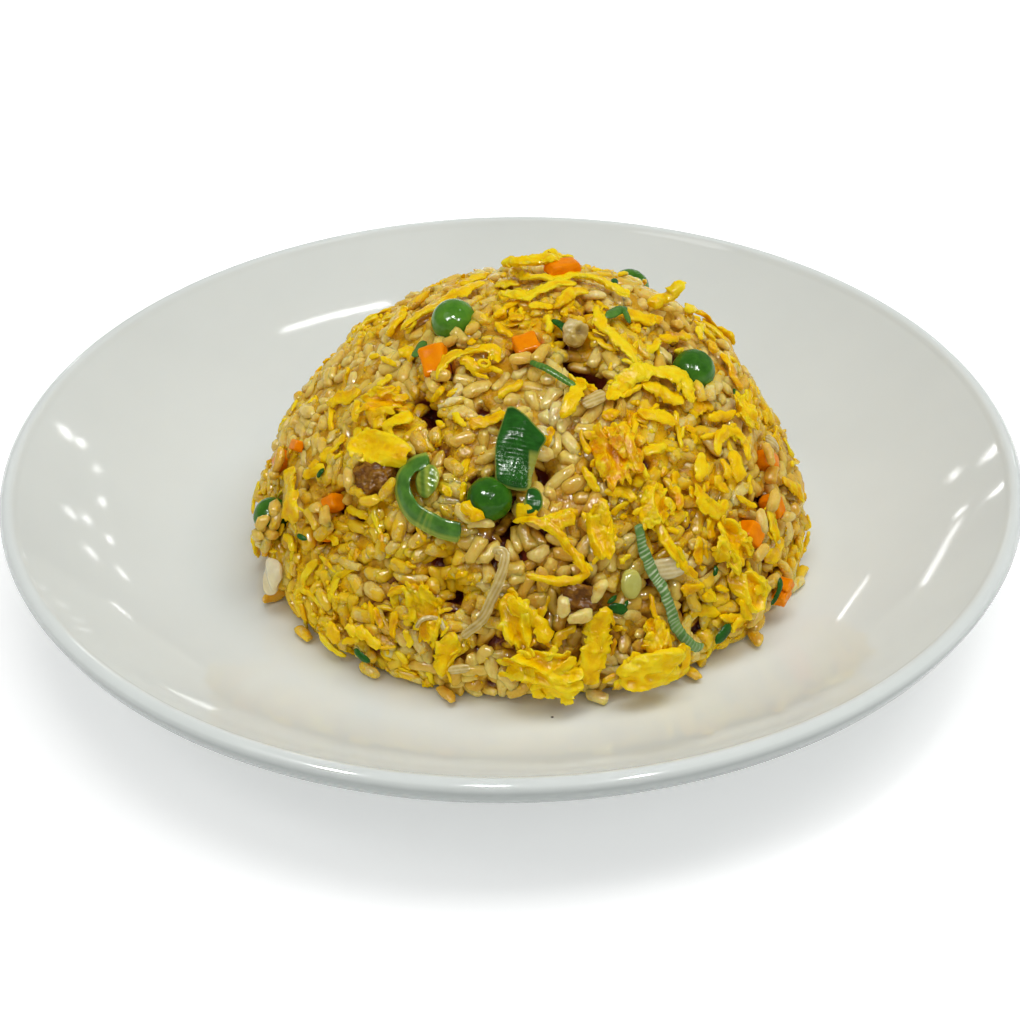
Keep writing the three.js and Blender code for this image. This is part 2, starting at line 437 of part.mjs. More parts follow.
const beds = [];           // grown copies of the pieces placed so far
const pieces = [];
for (const [name, kind, o] of toppings) {
  let s = kind.make(o, 0).trimByPlane([0, 0, 1], ZB + 0.2);
  const box = s.boundingBox();
  for (const b of beds) {
    const near = [0, 1, 2].every((k) => b.box.min[k] < box.max[k] && b.box.max[k] > box.min[k]);
    if (near) s = s.subtract(b.solid);
  }
  s = largest(s);
  pieces.push({ name, kind, solid: s });
  const bed = kind.make(o, GAP + 0.05);
  beds.push({ solid: bed, box: bed.boundingBox() });
}

let heap = heapSolid();
for (const b of beds) heap = heap.subtract(b.solid);
heap = largest(heap);

// ---------- the plate with its food ----------
const group = new THREE.Group();
function add(name, solid, color, roughness) {
  const mesh = new THREE.Mesh(toGeometry(solid), new THREE.MeshStandardMaterial({ color, roughness, metalness: 0 }));
  mesh.name = name;
  group.add(mesh);
}
add('plate', plateSolid(), 0xe6e9e4, 0.12);
add('rice_mound', heap, 0xc9a95c, 0.5);
for (const p of pieces) add(p.name, p.solid, p.kind.color, p.kind.roughness);

export default group;
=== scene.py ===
"""A plate of egg fried rice: a glazed coupe plate, a dome of short-grain rice turned out of a bowl,
and the egg, peas, carrot, scallion, leek and pork that lie on it. The making works in millimetres
in the frame's own axes, and meshes are written in metres."""
import math

import bpy
import numpy as np
from mathutils import Matrix, Vector
from mathutils.bvhtree import BVHTree


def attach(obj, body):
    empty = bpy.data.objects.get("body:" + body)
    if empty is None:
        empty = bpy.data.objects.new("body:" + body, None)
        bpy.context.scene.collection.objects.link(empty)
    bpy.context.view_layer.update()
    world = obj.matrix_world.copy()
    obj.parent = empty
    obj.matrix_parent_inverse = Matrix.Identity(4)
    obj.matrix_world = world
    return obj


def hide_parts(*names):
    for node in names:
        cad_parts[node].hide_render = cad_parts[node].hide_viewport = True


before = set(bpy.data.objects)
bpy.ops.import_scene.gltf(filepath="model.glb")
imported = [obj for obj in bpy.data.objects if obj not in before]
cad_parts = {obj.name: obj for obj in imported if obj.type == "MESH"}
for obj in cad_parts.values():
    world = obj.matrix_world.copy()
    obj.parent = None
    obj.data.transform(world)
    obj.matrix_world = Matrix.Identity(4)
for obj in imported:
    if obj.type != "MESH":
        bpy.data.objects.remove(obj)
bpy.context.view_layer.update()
scene = bpy.context.scene

# ---------------------------------------------------------------- the sizes of the CAD model
PLATE_R, RIM_Z, WELL_Z, WELL_R, LIP_IN = 120.0, 32.0, 9.0, 78.0, 116.2
FOOT_R, FOOT_W, FOOT_H, WALL = 62.0, 4.6, 4.2, 5.0
DOME_R, DOME_H, DOME_N1, DOME_N2 = 68.0, 65.0, 2.11, 1.6
DOME_TUCK, DOME_TUCK_H, DOME_LEAN, RELIEF = 0.053, 0.18, 9.0, 0.6
O = np.array([5.15, -4.8, 9.0])
ZB = 9.3
HOLLOWS = [
    [-61, 69.5, 5.0, 4.5], [-64, 64.5, 4.5, 4.5], [-135, 56, 4.5, 4.5], [-97, 38.5, 4.5, 3.5],
    [-88.5, 46.5, 4.0, 3.0], [-108, 21, 5.5, 3.5], [-112, 27, 4.0, 2.5],
    [38, 47, 4.5, 4.0], [96, 33, 4.5, 3.5], [-176, 44, 4.5, 3.5], [64, 62, 4.0, 3.0],
    [140, 55, 4.5, 3.5], [9, 25, 4.5, 3.0], [125, 18, 4.0, 3.0],
]


# ---------------------------------------------------------------- camera
def make_camera():
    elev, roll = math.radians(32.91376), math.radians(0.96293)
    c = Vector((0, -450 * math.cos(elev), 32 + 450 * math.sin(elev)))
    aim = Vector((-0.34441, -29.78883, 32))
    fwd = (aim - c).normalized()
    right = fwd.cross(Vector((0, 0, 1))).normalized()
    up = right.cross(fwd)
    r2 = right * math.cos(roll) - up * math.sin(roll)
    u2 = right * math.sin(roll) + up * math.cos(roll)
    data = bpy.data.cameras.new("camera")
    data.sensor_width, data.lens = 36.0, 66.30
    data.clip_start, data.clip_end = 0.02, 20
    cam = bpy.data.objects.new("camera", data)
    m = Matrix((r2, u2, -fwd)).transposed().to_4x4()
    m.translation = c / 1000
    cam.matrix_world = m
    scene.collection.objects.link(cam)
    scene.camera = cam


make_camera()


# ---------------------------------------------------------------- noise
def lattice(i, j, k, seed):
    h = (i * 374761393 + j * 668265263 + k * 1440662683 + seed * 1274126177) & 0xFFFFFFFF
    h = ((h ^ (h >> 13)) * 1274126177) & 0xFFFFFFFF
    h = ((h ^ (h >> 15)) * 2246822519) & 0xFFFFFFFF
    return (h ^ (h >> 16)) / 2147483647.5 - 1.0


def noise(p, seed=0):
    """Smooth noise from -1 to 1 of points (n, 3)."""
    q = np.floor(p).astype(np.int64)
    f = p - q
    f = f * f * f * (f * (f * 6 - 15) + 10)
    out = np.zeros(len(p))
    for a in (0, 1):
        for b in (0, 1):
            for c in (0, 1):
                w = (f[:, 0] if a else 1 - f[:, 0]) * (f[:, 1] if b else 1 - f[:, 1]) * (f[:, 2] if c else 1 - f[:, 2])
                out += w * lattice(q[:, 0] + a, q[:, 1] + b, q[:, 2] + c, seed)
    return out


def fractal(p, seed=0, octaves=3, gain=0.5):
    out, amp, total = np.zeros(len(p)), 1.0, 0.0
    for k in range(octaves):
        out += amp * noise(p * 2.0 ** k + 17.3 * k, seed + k)
        total += amp
        amp *= gain
    return out / total


def wave(x, seed, octaves=3, gain=0.55):
    """The same of one number: x is any shape."""
    x = np.asarray(x, float)
    p = np.zeros((x.size, 3))
    p[:, 0], p[:, 1], p[:, 2] = x.ravel(), seed * 1.37 + 0.5, seed * 0.71 + 0.5
    return fractal(p, seed, octaves, gain).reshape(x.shape)


def unit(v):
    return v / np.maximum(np.linalg.norm(v, axis=-1, keepdims=True), 1e-9)


# ---------------------------------------------------------------- the dome
def dir_of(phi, theta):
    p, t = np.radians(phi), np.radians(theta)
    return np.stack([np.cos(t) * np.cos(p), np.cos(t) * np.sin(p), np.sin(t) + 0 * p], -1)


def dome_field(p):
    h = (p[..., 2] - WELL_Z) / DOME_H
    r = np.hypot(p[..., 0] - O[0], p[..., 1] - O[1])
    low = np.clip(1 - h / DOME_TUCK_H, 0, 1)
    t = 1 - DOME_TUCK * low * low
    return (r / (DOME_R * t)) ** DOME_N1 + np.sign(h) * np.abs(h) ** DOME_N2 - 1


def dome_radius(d):
    lo, hi = np.full(d.shape[:-1], 10.0), np.full(d.shape[:-1], 130.0)
    for _ in range(32):
        m = (lo + hi) / 2
        inside = dome_field(O + d * m[..., None]) < 0
        lo, hi = np.where(inside, m, lo), np.where(inside, hi, m)
    return lo


def dome_normal(d, r=None):
    r = dome_radius(d) if r is None else r
    p, e = O + d * r[..., None], 0.01
    n = np.stack([dome_field(p + e * np.eye(3)[k]) - dome_field(p - e * np.eye(3)[k]) for k in range(3)], -1)
    return unit(n)


def relief(d):
    x, y, z = d[..., 0] * 68, d[..., 1] * 68, d[..., 2] * 68
    h = np.sin(x * 0.21 + 1.3 * np.sin(y * 0.11)) * np.cos(z * 0.19 + 0.7)
    h = h + 0.8 * np.sin(y * 0.33 + 2.1) * np.sin(z * 0.29 + x * 0.17)
    h = h + 0.6 * np.sin(x * 0.47 - z * 0.41 + 0.4) * np.cos(y * 0.52 + 1.9)
    h = h * RELIEF + DOME_LEAN * d[..., 0] * np.maximum(d[..., 2], 0) ** 6
    for p, t, r, deep in HOLLOWS:
        q = np.linalg.norm(d * 68 - dir_of(p, t) * 68, axis=-1) / r
        h = h - np.where(q < 2.5, deep * np.exp(-q * q), 0)
    return h


# the heap's outside is tabled by direction once, and read back between the table's points
TP, TT, T_LOW = 720, 202, -10.0
_phi = np.arange(TP + 1) * 360.0 / TP
_theta = T_LOW + np.arange(TT) * 0.5
_dirs = dir_of(_phi[None, :], _theta[:, None])
_rad = dome_radius(_dirs)
TAB_S = _rad + relief(_dirs)
TAB_N = dome_normal(_dirs, _rad)


def table_at(tab, d):
    a = (np.degrees(np.arctan2(d[..., 1], d[..., 0])) % 360.0) * TP / 360.0
    b = np.clip((np.degrees(np.arcsin(np.clip(d[..., 2], -1, 1))) - T_LOW) / 0.5, 0, TT - 1.001)
    i, j = np.minimum(a.astype(int), TP - 1), b.astype(int)
    u, v = a - i, b - j
    if tab.ndim == 3:
        u, v = u[..., None], v[..., None]
    return (tab[j, i] * (1 - u) + tab[j, i + 1] * u) * (1 - v) + (tab[j + 1, i] * (1 - u) + tab[j + 1, i + 1] * u) * v


def surface(d, h=0.0):
    """The point h above the heap's outside in direction d."""
    n = unit(table_at(TAB_N, d))
    return O + d * table_at(TAB_S, d)[..., None] + n * np.asarray(h, float)[..., None]


class Spot:
    """A local frame on the smooth dome: a along the piece, b across it, n outwards."""

    def __init__(self, phi, theta, spin=0.0):
        d = dir_of(np.array(float(phi)), np.array(float(theta)))
        self.n = dome_normal(d)
        self.p = O + d * dome_radius(d)
        east = unit(np.cross([0, 0, 1.0], self.n))
        north = np.cross(self.n, east)
        s = math.radians(spin)
        self.a = east * math.cos(s) + north * math.sin(s)
        self.b = np.cross(self.n, self.a)

    def on(self, u, v, h):
        u, v, h = np.broadcast_arrays(np.asarray(u, float), np.asarray(v, float), np.asarray(h, float))
        q = self.p + self.a * u[..., None] + self.b * v[..., None]
        return surface(unit(q - O), h)

    def at(self, u, v, h):
        u, v, h = np.broadcast_arrays(np.asarray(u, float), np.asarray(v, float), np.asarray(h, float))
        return self.p + self.a * u[..., None] + self.b * v[..., None] + self.n * h[..., None]


def xorshift(seed):
    s = (seed * 2654435761) & 0xFFFFFFFF or 1
    while True:
        s ^= (s << 13) & 0xFFFFFFFF
        s ^= s >> 17
        s ^= (s << 5) & 0xFFFFFFFF
        yield s / 4294967296


# ---------------------------------------------------------------- meshes
class Mesh:
    """Collects vertices, triangles and numbers that the materials read."""

    def __init__(self):
        self.v, self.t, self.attr, self.n = [], [], {}, 0

    def add(self, v, t, **attr):
        """Adds closed shapes; their triangles are turned to face outwards."""
        v, t = np.asarray(v, float).reshape(-1, 3), np.asarray(t, int).reshape(-1, 3)
        q = v - v.mean(0)
        if np.sum(q[t[:, 0]] * np.cross(q[t[:, 1]], q[t[:, 2]])) < 0:
            t = t[:, ::-1]
        self.v.append(v)
        self.t.append(t + self.n)
        for k, x in attr.items():
            self.attr.setdefault(k, []).append(np.broadcast_to(np.asarray(x, float), (len(v),)).copy())
        self.n += len(v)
        return self

    def build(self, name, material, nodes=(), slot=None, smooth=True):
        v, t = np.concatenate(self.v) / 1000.0, np.concatenate(self.t)
        me = bpy.data.meshes.new(name)
        me.vertices.add(len(v))
        me.vertices.foreach_set("co", v.astype(np.float32).ravel())
        me.loops.add(t.size)
        me.loops.foreach_set("vertex_index", t.astype(np.int32).ravel())
        me.polygons.add(len(t))
        me.polygons.foreach_set("loop_start", np.arange(0, t.size, 3, dtype=np.int32))
        me.update(calc_edges=True)
        me.polygons.foreach_set("use_smooth", np.full(len(t), smooth))
        for k, x in self.attr.items():
            me.attributes.new(k, "FLOAT", "POINT").data.foreach_set("value", np.concatenate(x).astype(np.float32))
        me.materials.append(material)
        me.validate()
        ob = bpy.data.objects.new(name, me)
        scene.collection.objects.link(ob)
        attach(ob, "root")
        if nodes:
            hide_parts(*nodes)
        return ob


def tube_faces(rows, cols, closed_rows=False):
    """Triangles of a tube of rows rings of cols points, and two end caps on added points rows*cols, rows*cols+1."""
    i, j = np.meshgrid(np.arange(rows - 1), np.arange(cols), indexing="ij")
    k = (j + 1) % cols
    a, b, c, d = i * cols + j, i * cols + k, (i + 1) * cols + k, (i + 1) * cols + j
    t = np.concatenate([np.stack([a, b, c], -1).reshape(-1, 3), np.stack([a, c, d], -1).reshape(-1, 3)])
    j = np.arange(cols)
    k = (j + 1) % cols
    s, e = rows * cols, rows * cols + 1
    cap0 = np.stack([k, j, np.full(cols, s)], -1)
    cap1 = np.stack([(rows - 1) * cols + j, (rows - 1) * cols + k, np.full(cols, e)], -1)
    return np.concatenate([t, cap0, cap1])


def icosphere(level):
    g = (1 + 5 ** 0.5) / 2
    v = [(-1, g, 0), (1, g, 0), (-1, -g, 0), (1, -g, 0), (0, -1, g), (0, 1, g), (0, -1, -g), (0, 1, -g),
         (g, 0, -1), (g, 0, 1), (-g, 0, -1), (-g, 0, 1)]
    t = [(0, 11, 5), (0, 5, 1), (0, 1, 7), (0, 7, 10), (0, 10, 11), (1, 5, 9), (5, 11, 4), (11, 10, 2), (10, 7, 6),
         (7, 1, 8), (3, 9, 4), (3, 4, 2), (3, 2, 6), (3, 6, 8), (3, 8, 9), (4, 9, 5), (2, 4, 11), (6, 2, 10), (8, 6, 7), (9, 8, 1)]
    v = [unit(np.array(p, float)) for p in v]
    for _ in range(level):
        new, seen = [], {}

        def mid(a, b):
            key = (min(a, b), max(a, b))
            if key not in seen:
                seen[key] = len(v)
                v.append(unit(v[a] + v[b]))
            return seen[key]

        for a, b, c in t:
            x, y, z = mid(a, b), mid(b, c), mid(c, a)
            new += [(a, x, z), (b, y, x), (c, z, y), (x, y, z)]
        t = new
    return np.array(v), np.array(t)


def catmull(points, n):
    """n+1 points evenly along a smooth line through the given ones (centripetal)."""
    p = np.array([list(q) + [0] * (3 - len(q)) for q in points], float)
    p = np.vstack([2 * p[0] - p[1], p, 2 * p[-1] - p[-2]])
    out = []
    for i in range(1, len(p) - 2):
        p0, p1, p2, p3 = p[i - 1:i + 3]
        t1 = max(np.linalg.norm(p1 - p0), 1e-6) ** 0.5
        t2 = t1 + max(np.linalg.norm(p2 - p1), 1e-6) ** 0.5
        t3 = t2 + max(np.linalg.norm(p3 - p2), 1e-6) ** 0.5
        t = np.linspace(t1, t2, 24, endpoint=i == len(p) - 3)[:, None]
        a1 = (t1 - t) / t1 * p0 + t / t1 * p1
        a2 = (t2 - t) / (t2 - t1) * p1 + (t - t1) / (t2 - t1) * p2
        a3 = (t3 - t) / (t3 - t2) * p2 + (t - t2) / (t3 - t2) * p3
        b1 = (t2 - t) / t2 * a1 + t / t2 * a2
        b2 = (t3 - t) / (t3 - t1) * a2 + (t - t1) / (t3 - t1) * a3
        out.append((t2 - t) / (t2 - t1) * b1 + (t - t1) / (t2 - t1) * b2)
    q = np.concatenate(out)
    s = np.concatenate([[0], np.cumsum(np.linalg.norm(np.diff(q, axis=0), axis=1))])
    at = np.linspace(0, s[-1], n + 1)
    return np.stack([np.interp(at, s, q[:, k]) for k in range(3)], 1), s[-1]


# ---------------------------------------------------------------- materials
class Graph:
    """A small helper that writes a material's nodes."""

    def __init__(self, name):
        self.m = bpy.data.materials.new(name)
        self.m.use_nodes = True
        self.nt = self.m.node_tree
        self.nt.nodes.clear()
        self.out = self.n("ShaderNodeOutputMaterial")
        self.coord = self.n("ShaderNodeTexCoord").outputs["Object"]

    def n(self, kind, **props):
        x = self.nt.nodes.new(kind)
        for k, v in props.items():
            setattr(x, k, v)
        return x

    def put(self, socket, v):
        if hasattr(v, "links"):
            self.nt.links.new(v, socket)
        elif isinstance(v, str):
            socket.default_value = (*rgb(v), 1)
        else:
            socket.default_value = v

    def math(self, op, a, b=None, c=None, clamp=False):
        x = self.n("ShaderNodeMath", operation=op, use_clamp=clamp)
        for i, v in enumerate((a, b, c)):
            if v is not None:
                self.put(x.inputs[i], v)
        return x.outputs[0]

    def attr(self, name):
        return self.n("ShaderNodeAttribute", attribute_name=name, attribute_type="GEOMETRY").outputs["Fac"]

    def local(self, along, across, a=1.0, b=1.0):
        """A vector in millimetres along and across a piece, from two numbers on its mesh."""
        x = self.n("ShaderNodeCombineXYZ")
        self.put(x.inputs[0], self.math("MULTIPLY", self.attr(along), a / 1000))
        self.put(x.inputs[1], self.math("MULTIPLY", self.attr(across), b / 1000))
        return x.outputs[0]

    def noise(self, mm, detail=3.0, rough=0.55, vector=None, distortion=0.0):
        """Noise from 0 to 1 whose features are about mm millimetres."""
        x = self.n("ShaderNodeTexNoise")
        self.put(x.inputs["Vector"], self.coord if vector is None else vector)
        x.inputs["Scale"].default_value = 1000.0 / mm
        x.inputs["Detail"].default_value = detail
        x.inputs["Roughness"].default_value = rough
        x.inputs["Distortion"].default_value = distortion
        return x.outputs["Fac"]

    def cells(self, mm, vector=None):
        x = self.n("ShaderNodeTexVoronoi")
        self.put(x.inputs["Vector"], self.coord if vector is None else vector)
        x.inputs["Scale"].default_value = 1000.0 / mm
        return x.outputs["Distance"]

    def ramp(self, fac, stops):
        x = self.n("ShaderNodeValToRGB")
        while len(x.color_ramp.elements) < len(stops):
            x.color_ramp.elements.new(0.5)
        for e, (pos, col) in zip(x.color_ramp.elements, stops):
            e.position = pos
            e.color = (*(rgb(col) if isinstance(col, str) else (col,) * 3), 1)
        self.put(x.inputs[0], fac)
        return x.outputs[0]

    def mix(self, fac, a, b, mode="MIX"):
        x = self.n("ShaderNodeMix", data_type="RGBA", blend_type=mode)
        self.put(x.inputs[0], fac)
        self.put(x.inputs[6], a)
        self.put(x.inputs[7], b)
        return x.outputs[2]

    def bump(self, height, mm, strength=1.0, normal=None):
        x = self.n("ShaderNodeBump")
        self.put(x.inputs["Height"], height)
        x.inputs["Distance"].default_value = mm / 1000
        x.inputs["Strength"].default_value = strength
        if normal is not None:
            self.put(x.inputs["Normal"], normal)
        return x.outputs[0]

    def surface(self, color, roughness, normal=None, ior=1.45, specular=0.5, sss=0.0, radius=(1, 0.5, 0.2), scale=0.0,
                coat=0.0, coat_rough=0.1):
        b = self.bsdf = self.n("ShaderNodeBsdfPrincipled")
        self.put(b.inputs["Base Color"], color)
        self.put(b.inputs["Roughness"], roughness)
        b.inputs["IOR"].default_value = ior
        b.inputs["Specular IOR Level"].default_value = specular
        b.inputs["Subsurface Weight"].default_value = sss
        b.inputs["Subsurface Radius"].default_value = radius
        b.inputs["Subsurface Scale"].default_value = scale / 1000
        b.inputs["Coat Weight"].default_value = coat
        b.inputs["Coat Roughness"].default_value = coat_rough
        if normal is not None:
            self.put(b.inputs["Normal"], normal)
        self.put(self.out.inputs["Surface"], b.outputs[0])
        return self.m


def rgb(h):
    """Linear colour of a screen colour written as six hex digits."""
    c = [int(h[i:i + 2], 16) / 255 for i in (0, 2, 4)]
    return tuple(x / 12.92 if x <= 0.04045 else ((x + 0.055) / 1.055) ** 2.4 for x in c)


def egg_film(g, extra):
    """How much of a thin film of egg lies on the rice, 0 to 1: patches that run on from grain to grain."""
    f = g.math("ADD", g.noise(3.1, 4, 0.62), g.math("MULTIPLY", g.noise(11.0, 2), 0.45))
    f = g.math("MULTIPLY", g.math("ADD", f, extra), 0.75)
    return g.ramp(f, [(0.705, 0.0), (0.775, 1.0)])


def rice_material():
    g = Graph("rice_grain")
    col = g.ramp(g.attr("pick"), [(0.0, "d49f28"), (0.25, "e4b744"), (0.5, "efcd64"), (0.75, "f5db88"), (1.0, "f8e6b0")])
    col = g.mix(g.ramp(g.noise(1.7, 3, 0.6), [(0.42, 0.0), (0.70, 0.45)]), col, "cc9a18")
    # painted shade: the grains turn a deeper gold where they lie far below the heap's outside and near the gaps (their
    # deep number)
    low = g.math("MULTIPLY", g.attr("deep"), g.ramp(g.noise(2.6, 3), [(0.34, 0.55), (0.60, 1.0)]))
    col = g.mix(g.ramp(low, [(0.05, 0.0), (0.36, 0.85)]), col, "d69d1c")
    film = egg_film(g, g.math("MULTIPLY", g.attr("yolk"), 0.36))
    col = g.mix(g.math("MULTIPLY", film, 0.85), col, "fcc600")
    # painted shade: maroon on the grains deepest down between the others
    col = g.mix(g.ramp(low, [(0.40, 0.0), (0.82, 1.0)]), col, "6c2c1a")
    rough = g.ramp(g.noise(5.0, 2), [(0.38, 0.06), (0.60, 0.22)])
    n = g.bump(g.noise(1.6, 3, 0.55), 0.32, 0.8)
    n = g.bump(g.noise(0.6, 2, 0.5), 0.085, 0.8, n)
    n = g.bump(film, 0.24, 0.8, n)
    return g.surface(col, rough, n, specular=0.26, sss=0.74, radius=(1.0, 0.74, 0.22), scale=2.5, coat=0.05, coat_rough=0.06)


def core_material():
    g = Graph("rice_core")
    f = g.noise(2.4, 4, 0.6)
    col = g.ramp(f, [(0.30, "bc860c"), (0.5, "d8a21a"), (0.70, "e8c248")])
    film = egg_film(g, g.math("MULTIPLY", g.attr("yolk"), 0.36))
    col = g.mix(g.math("MULTIPLY", film, 0.9), col, "f8c000")
    # painted shade: maroon where the core lies deep in its clefts, pits and gaps
    col = g.mix(g.ramp(g.attr("deep"), [(0.20, 0.0), (0.48, 1.0)]), col, "702e1a")
    n = g.bump(g.noise(1.5, 3, 0.6), 0.70, 0.9)
    n = g.bump(g.noise(0.6, 2, 0.5), 0.10, 0.8, n)
    return g.surface(col, g.math("MULTIPLY_ADD", f, 0.16, 0.16), n, specular=0.10, sss=0.5, radius=(1.0, 0.70, 0.2), scale=2.4,
                     coat=0.08, coat_rough=0.08)


def egg_material():
    g = Graph("egg_curd")
    fibre = g.noise(1.0, 3, 0.6, vector=g.local("su", "sv", 0.32, 1.25), distortion=0.5)
    # painted light and shade: the crests of the folds and the rims come out brighter, the folds between them darker
    f = g.math("ADD", g.math("MULTIPLY", g.noise(2.4, 4, 0.6), 0.34), g.math("MULTIPLY", g.attr("ridge"), 0.42))
    f = g.math("ADD", f, g.math("MULTIPLY", fibre, 0.24))
    f = g.math("ADD", f, g.math("MULTIPLY_ADD", g.attr("tone"), 0.24, -0.12))
    col = g.ramp(f, [(0.18, "cc8600"), (0.34, "f0b400"), (0.54, "ffcf00"), (0.80, "ffe322")])
    browned = g.math("MULTIPLY", g.attr("toast"), g.ramp(g.noise(2.2, 4, 0.65), [(0.42, 0.0), (0.66, 1.0)]))
    col = g.mix(browned, col, "e07c04")
    rough = g.ramp(g.noise(4.0, 2), [(0.38, 0.08), (0.62, 0.26)])
    n = g.bump(g.noise(1.9, 3, 0.55, distortion=0.7), 0.38, 0.9)
    n = g.bump(fibre, 0.20, 0.8, n)
    n = g.bump(g.noise(0.6, 2, 0.5), 0.06, 0.8, n)
    return g.surface(col, rough, n, specular=0.13, sss=0.30, radius=(1.0, 0.66, 0.04), scale=1.1, coat=0.02, coat_rough=0.08)


def pea_material():
    g = Graph("pea_skin")
    f = g.noise(3.6, 3)
    dark = g.ramp(f, [(0.3, "1f540a"), (0.7, "387312")])
    light = g.ramp(f, [(0.3, "44801c"), (0.7, "669a2a")])
    col = g.mix(g.attr("pick"), dark, light)
    # painted shade: darker green along the wrinkle lines of the skin
    col = g.mix(g.attr("crease"), col, "1d4a0c")
    n = g.bump(g.noise(1.5, 3), 0.20, 0.8)
    n = g.bump(g.noise(0.7, 2), 0.036, 0.8, n)
    return g.surface(col, g.math("MULTIPLY_ADD", g.noise(2.1, 2), 0.10, 0.06), n, specular=0.22, sss=0.22,
                     radius=(0.6, 1.0, 0.2), scale=1.2, coat=0.08, coat_rough=0.05)


def carrot_material():
    g = Graph("carrot_flesh")
    f = g.noise(2.4, 4, 0.6)
    col = g.ramp(f, [(0.28, "f08200"), (0.5, "fa8e00"), (0.75, "ff9e00")])
    n = g.bump(g.noise(0.7, 3), 0.04, 0.7)
    n = g.bump(g.noise(2.0, 2), 0.16, 0.5, n)
    return g.surface(col, g.math("MULTIPLY_ADD", g.noise(1.5, 3), 0.12, 0.10), n, specular=0.08, sss=0.12,
                     radius=(1.0, 0.42, 0.02), scale=0.7, coat=0.02, coat_rough=0.08)


def green_material(name, dark, mid, pale, rib_amount=0.2, coat=0.3, sss=0.15, rib_bump=0.07, sheen_streaked=False,
                   shine=0.20):
    """Leaf of scallion: rib counts its veins or bands, pale is 1 where it is pale, and the streak mask marks where a
    painted sheen lies on it in whitish streaks.
    """
    g = Graph(name)
    f = g.noise(2.4, 3)
    col = g.ramp(f, [(0.3, dark), (0.7, mid)])
    ribs = g.math("SINE", g.math("MULTIPLY", g.attr("rib"), 6.28318))
    col = g.mix(g.math("MULTIPLY_ADD", ribs, rib_amount / 2, rib_amount / 2), col, mid)
    col = g.mix(g.attr("pale"), col, pale)
    if sheen_streaked:
        # painted sheen: whitish streaks mixed into the leaf's colour across a band
        painted_sheen = g.math("MULTIPLY", g.attr("scuff"), g.ramp(g.noise(0.9, 5, 0.75, distortion=1.6), [(0.53, 0.0), (0.60, 0.9)]))
        col = g.mix(painted_sheen, col, "a9c9a4")
    n = g.bump(ribs, rib_bump, 0.7)
    n = g.bump(g.noise(0.6, 3), 0.08, 0.6, n)
    return g.surface(col, g.math("MULTIPLY_ADD", g.noise(1.4, 3), 0.14, 0.10), n, specular=shine, sss=sss,
                     radius=(0.5, 1.0, 0.25), scale=0.8, coat=coat, coat_rough=0.08)


def leek_material():
    g = Graph("leek_white")
    f = g.noise(2.2, 3)
    col = g.ramp(f, [(0.3, "b39644"), (0.55, "ceb462"), (0.8, "e8daa0")])
    ribs = g.math("SINE", g.math("MULTIPLY", g.attr("rib"), 6.28318))
    col = g.mix(g.math("MULTIPLY_ADD", ribs, 0.15, 0.15), col, "f3ebc4")
    col = g.mix(g.attr("pale"), col, "c3c45c")
    # painted shade: brown in the onion's hollow
    col = g.mix(g.attr("deep"), col, "7a4a18")
    col = g.mix(g.math("MULTIPLY", g.attr("light"), 0.7), col, "f8f0d4")
    n = g.bump(ribs, 0.03, 0.6)
    n = g.bump(g.noise(1.1, 3), 0.10, 0.7, n)
    return g.surface(col, g.math("MULTIPLY_ADD", f, 0.14, 0.10), n, specular=0.22, sss=0.5,
                     radius=(1.0, 0.80, 0.34), scale=1.4, coat=0.08, coat_rough=0.08)


def pork_material():
    g = Graph("pork_meat")
    f = g.noise(0.9, 4, 0.65, vector=g.local("su", "sv", 0.45, 1.0), distortion=0.6)
    f = g.math("ADD", g.math("MULTIPLY", f, 0.32), g.math("MULTIPLY", g.noise(2.4, 4, 0.6), 0.68))
    col = g.ramp(f, [(0.30, "422204"), (0.46, "784a12"), (0.60, "a0701e"), (0.78, "caa042")])
    n = g.bump(f, 0.35, 0.8)
    n = g.bump(g.noise(0.5, 3, 0.65), 0.10, 0.8, n)
    return g.surface(col, g.math("MULTIPLY_ADD", g.noise(1.2, 3), 0.2, 0.10), n, specular=0.14, sss=0.2,
                     radius=(1.0, 0.5, 0.20), scale=1.0, coat=0.06, coat_rough=0.10)


def plate_material():
    g = Graph("plate_glaze")
    f = g.noise(46, 3)
    col = g.ramp(f, [(0.3, "e3e8e4"), (0.7, "e8ede9")])
    clay = g.attr("clay")
    # painted shade: darker grey on the outside of the plate below the rim
    col = g.mix(g.attr("outer"), col, "a2a8a5")
    col = g.mix(clay, col, "cfc5b2")
    col = g.mix(g.ramp(g.cells(34), [(0.006, 1.0), (0.011, 0.0)]), col, "3a352d")
    n = g.bump(g.noise(60, 2), 0.35, 0.5)
    n = g.bump(g.noise(7, 2), 0.02, 0.5, n)
    rough = g.math("MULTIPLY_ADD", clay, 0.6, g.math("MULTIPLY_ADD", g.noise(14, 3), 0.04, 0.05))
    return g.surface(col, rough, n, specular=0.5, coat=0.0)


RICE, CORE, EGG = rice_material(), core_material(), egg_material()
PEA, CARROT, PORK, LEEK = pea_material(), carrot_material(), pork_material(), leek_material()
LEAF = green_material("scallion_leaf", "1c4c12", "2b681d", "a8ae48", 0.08, 0.05, 0.08, 0.03, sheen_streaked=True, shine=0.11)
SCALLION = green_material("scallion_green", "3c6a20", "5c902e", "b9c34a", 0.1, 0.16, 0.16, 0.03)
STRIP = green_material("scallion_strip", "447630", "7ca058", "dfe5c4", 0.25, 0.10, 0.2, 0.03)


# ---------------------------------------------------------------- plate
def inner_z(r):
    s = np.maximum(np.asarray(r, float) - WELL_R, 0) / (LIP_IN - WELL_R)
    return WELL_Z + (30.8 - WELL_Z) * s ** 1.62


